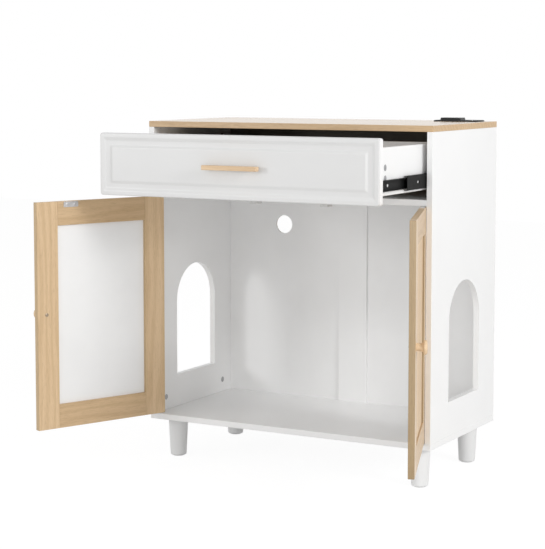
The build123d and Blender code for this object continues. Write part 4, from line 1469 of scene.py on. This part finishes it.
@dataclass
class PowerModule(SubAssembly):
    """The socket unit let into the top: bezel, housing and raised outlet block."""

    bead: float = 0.0005
    bead_inset: float = 0.004
    bead_corner: float = 0.004
    bead_steps: int = 10
    port_offset: float = 0.036
    port_pitch: float = 0.016
    port_size: Tuple[float, float] = (0.009, 0.0032)
    port_depth: float = 0.002
    port_steps: int = 12
    shell: float = 0.0004
    lip_steps: int = 7
    tongue_shares: Triple = (0.36, 0.13, 0.4)
    outlet_pitch: float = 0.027
    outlet_depth: float = 0.004
    blade_pitch: float = 0.0127
    blade_size: Tuple[float, float] = (0.0022, 0.0075)
    blade_shares: Tuple[float, float] = (0.36, 0.42)
    ground_drop: float = 0.0110
    ground_size: float = 0.0050
    ground_share: float = 0.34
    contact_half: float = 0.0007

    def dress(self) -> None:
        """Gives the unit's solids their finishes."""
        self.wear(BLACK_MOULDED, "power_module_bezel", "power_module_housing")
        self.wear(BLACK_GLOSS, "power_module_outlet_block")

    def build(self) -> None:
        """Lays a fine bead on the bezel's face, inside its edge, and fills the ports and outlets."""
        low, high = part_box("power_module_bezel")
        turn = np.linspace(0.0, FULL_TURN, self.bead_steps, endpoint=False)
        bead = self.bead * np.stack([np.cos(turn), np.sin(turn)], axis=1)
        inset = 2 * self.bead_inset
        points, faces = loop_bead(high.x - low.x - inset, high.y - low.y - inset, self.bead_corner, bead)
        middle = np.array([(low.x + high.x) / 2, (low.y + high.y) / 2, high.z])
        Piece("bezel_bead", BLACK_GLOSS, "cabinet", "black_plastic").build(points + middle, faces)
        ports = [[self.port_offset, sign * self.port_pitch / 2, 0.0] for sign in (-1.0, 1.0)]
        self.build_ports(middle + np.array(ports))
        block_low, block_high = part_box("power_module_outlet_block")
        self.build_contacts(np.array([(block_low.x + block_high.x) / 2, middle[1], block_high.z]))

    def build_ports(self, ports: np.ndarray) -> None:
        """Lines each port with a thin steel shell and stands a tongue in it.

        The shell is a thin upright strip with a rounded lip, carried round the port's slot.

        Args:
            ports: the middle of each port on the bezel's face.
        """
        lip = np.linspace(0.0, math.pi, self.lip_steps)
        half = self.shell / 2
        strip = np.stack([np.concatenate([half * np.cos(lip), [-half, half]]),
                          np.concatenate([half * np.sin(lip), [-self.port_depth, -self.port_depth]])], axis=1)
        width, depth = (size - self.shell for size in self.port_size)
        points, faces = loop_bead(width, depth, depth / 2, strip, self.port_steps)
        shells = (points[None] + ports[:, None]).reshape(-1, 3)
        Piece("port_shells", BRIGHT_STEEL, "cabinet", "steel").build(
            shells, repeated(faces, len(points), len(ports)))
        tongue = np.array([*self.port_size, self.port_depth]) * np.array(self.tongue_shares)
        low = ports - np.array([0.0, 0.0, self.port_depth - tongue[2]])
        points, faces = soft_bars(low, np.repeat(tongue[None], len(ports), axis=0))
        Piece("port_tongues", BLACK_MOULDED, "cabinet", "black_plastic").build(points, faces)

    def build_contacts(self, middle: np.ndarray) -> None:
        """Sets a brass contact at the bottom of each slot of the outlets.

        Args:
            middle: the middle of the outlet block's top face.
        """
        signs = (-1.0, 1.0)
        drop = self.ground_drop / 2
        blades = np.array([[one * self.outlet_pitch / 2 + two * self.blade_pitch / 2, drop, 0.0]
                           for one in signs for two in signs])
        grounds = np.array([[one * self.outlet_pitch / 2, -drop, 0.0] for one in signs])
        blade = [size * share for size, share in zip(self.blade_size, self.blade_shares)]
        ground = 2 * [self.ground_size * self.ground_share]
        sizes = np.concatenate([np.repeat([[*blade, self.contact_half]], len(blades), axis=0),
                                np.repeat([[*ground, self.contact_half]], len(grounds), axis=0)])
        sunk = middle - np.array([0.0, 0.0, self.outlet_depth - self.contact_half])
        points, faces = soft_bars(np.concatenate([blades, grounds]) + sunk, sizes)
        Piece("outlet_contacts", BRASS, "cabinet", "plated_steel").build(points, faces)


# Studio


@dataclass(frozen=True)
class SoftBox:
    """One large soft lamp that looks at the enclosure."""

    name: str
    place: Triple
    target: Triple
    size: Tuple[float, float]
    power: float

    def hang(self) -> None:
        """Puts the lamp in the scene."""
        lamp = bpy.data.lights.new(self.name, "AREA")
        lamp.shape = "RECTANGLE"
        lamp.size, lamp.size_y = self.size
        lamp.energy = self.power
        holder = bpy.data.objects.new(self.name, lamp)
        holder.location = self.place
        way = np.array(self.target) - np.array(self.place)
        flat = math.hypot(way[0], way[1])
        holder.rotation_euler = (math.atan2(flat, -way[2]), 0.0, math.atan2(-way[0], way[1]))
        holder.visible_camera = False
        bpy.context.scene.collection.objects.link(holder)


@dataclass
class Studio:
    """The white room: floor, world, lamps and camera."""

    ambient: float = 0.50
    floor_half: float = 7.0
    floor_z: float = -0.0004
    floor_lines: int = 9
    floor_white: float = 0.80
    floor_shadow: float = 0.15
    floor_glow: float = 0.912
    camera_place: Triple = (1.9818, -3.6670, 1.0120)
    camera_yaw_deg: float = 29.026
    camera_pitch_deg: float = 5.108
    focal_px: float = 1667.44
    axis_rise_px: float = 53.7
    sensor_mm: float = 36.0
    far_end: float = 100.0
    lamps: Tuple[SoftBox, ...] = (
        SoftBox("key_right", place=(4.3, -1.10, 2.10), target=(0.0, 0.0, 0.5), size=(1.1, 1.4), power=87.0),
        SoftBox("lamp_left", place=(-2.28, -3.23, 1.28), target=(-0.1, 0.17, 0.40), size=(0.75, 0.75),
                power=25.0),
        SoftBox("fill_low", place=(2.0, -3.1, 0.6), target=(-0.1, 0.1, 0.42), size=(2.2, 0.7), power=18.0),
        SoftBox("fill_front", place=(-0.3, -3.5, 2.0), target=(0.0, 0.1, 0.35), size=(2.4, 1.4),
                power=15.0))

    def seen_ray(self, graph: Graph) -> bpy.types.NodeSocket:
        """A mask of the rays that show the room: from the camera, or by gloss or glass.

        Args:
            graph: the graph to work in.

        Returns:
            1 for such rays, 0 for the others.
        """
        path = graph.add("ShaderNodeLightPath")
        shown = graph.sum_up("MAXIMUM", path.outputs["Is Camera Ray"], path.outputs["Is Glossy Ray"])
        return graph.sum_up("MAXIMUM", shown, path.outputs["Is Transmission Ray"])

    def lay_floor(self) -> None:
        """Lays the floor, a level grid that shows as white and keeps a soft shadow."""
        line = np.linspace(-self.floor_half, self.floor_half, self.floor_lines)
        x, y = np.meshgrid(line, line, indexing="ij")
        points = np.stack([x, y, np.full_like(x, self.floor_z)], axis=-1).reshape(-1, 3)
        faces = grid_quads(self.floor_lines, self.floor_lines, False)[:, ::-1]
        mesh = bpy.data.meshes.new("studio_floor")
        mesh.from_pydata(points.tolist(), [], faces.tolist())
        floor = bpy.data.objects.new("studio_floor", mesh)
        bpy.context.scene.collection.objects.link(floor)
        paint = bpy.data.materials.new("floor_paper")
        paint.use_nodes = True
        paint.node_tree.nodes.clear()
        graph = Graph(paint.node_tree)
        plain = graph.add("ShaderNodeBsdfDiffuse", {"Color": even(self.floor_white)})
        faint = graph.add("ShaderNodeBsdfDiffuse", {"Color": even(self.floor_shadow)})
        glow = graph.add("ShaderNodeEmission", {"Color": even(1.0), "Strength": self.floor_glow})
        bright = graph.add("ShaderNodeAddShader", {0: faint.outputs[0], 1: glow.outputs[0]})
        mixed = graph.add("ShaderNodeMixShader", {0: self.seen_ray(graph), 1: plain.outputs[0],
                                                  2: bright.outputs[0]})
        graph.add("ShaderNodeOutputMaterial", {"Surface": mixed.outputs[0]})
        mesh.materials.append(paint)

    def fill_world(self) -> None:
        """Fills the room with even light; it shows as white."""
        world = bpy.data.worlds.new("white_room")
        bpy.context.scene.world = world
        world.use_nodes = True
        world.node_tree.nodes.clear()
        graph = Graph(world.node_tree)
        strength = graph.spread(self.seen_ray(graph), 0.0, 1.0, self.ambient, 1.0)
        room = graph.add("ShaderNodeBackground", {"Color": even(1.0), "Strength": strength})
        graph.add("ShaderNodeOutputWorld", {"Surface": room.outputs[0]})

    def hang_lamps(self) -> None:
        """Hangs a key on the right, a small lamp at the left front and two soft fills in front."""
        for lamp in self.lamps:
            lamp.hang()

    def set_camera(self) -> None:
        """Places the camera at the picture's viewing angle."""
        eye = bpy.data.cameras.new("picture_camera")
        eye.sensor_width = self.sensor_mm
        eye.lens = self.focal_px * self.sensor_mm / PICTURE_HEIGHT_PX
        eye.shift_y = -self.axis_rise_px / PICTURE_HEIGHT_PX
        eye.clip_end = self.far_end
        holder = bpy.data.objects.new("picture_camera", eye)
        holder.location = self.camera_place
        holder.rotation_euler = (math.radians(90.0 - self.camera_pitch_deg), 0.0,
                                 math.radians(self.camera_yaw_deg))
        bpy.context.scene.collection.objects.link(holder)
        bpy.context.scene.camera = holder

    def build(self) -> None:
        """Makes the room ready."""
        self.lay_floor()
        self.fill_world()
        self.hang_lamps()
        self.set_camera()
        bpy.context.scene.view_settings.view_transform = "Standard"


def main() -> None:
    """Builds and dresses the enclosure."""
    logging.basicConfig(level=logging.INFO, format="%(name)s: %(message)s")
    for spare in list(bpy.data.objects):
        bpy.data.objects.remove(spare)
    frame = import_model()
    nodes = frame["nodes"]
    Studio().build()
    Carcass(nodes).dress()
    for part in (Drawer(nodes), Slides(nodes), PowerModule(nodes),
                 Door(nodes, Side.LEFT, open_deg=113.0, band_tint=LEFT_EDGE_PAINTED_SHADE),
                 Door(nodes, Side.RIGHT, open_deg=110.5, band_tint=RIGHT_EDGE_PAINTED_SHADE)):
        part.dress()
        part.build()


if __name__ == "__main__":
    main()
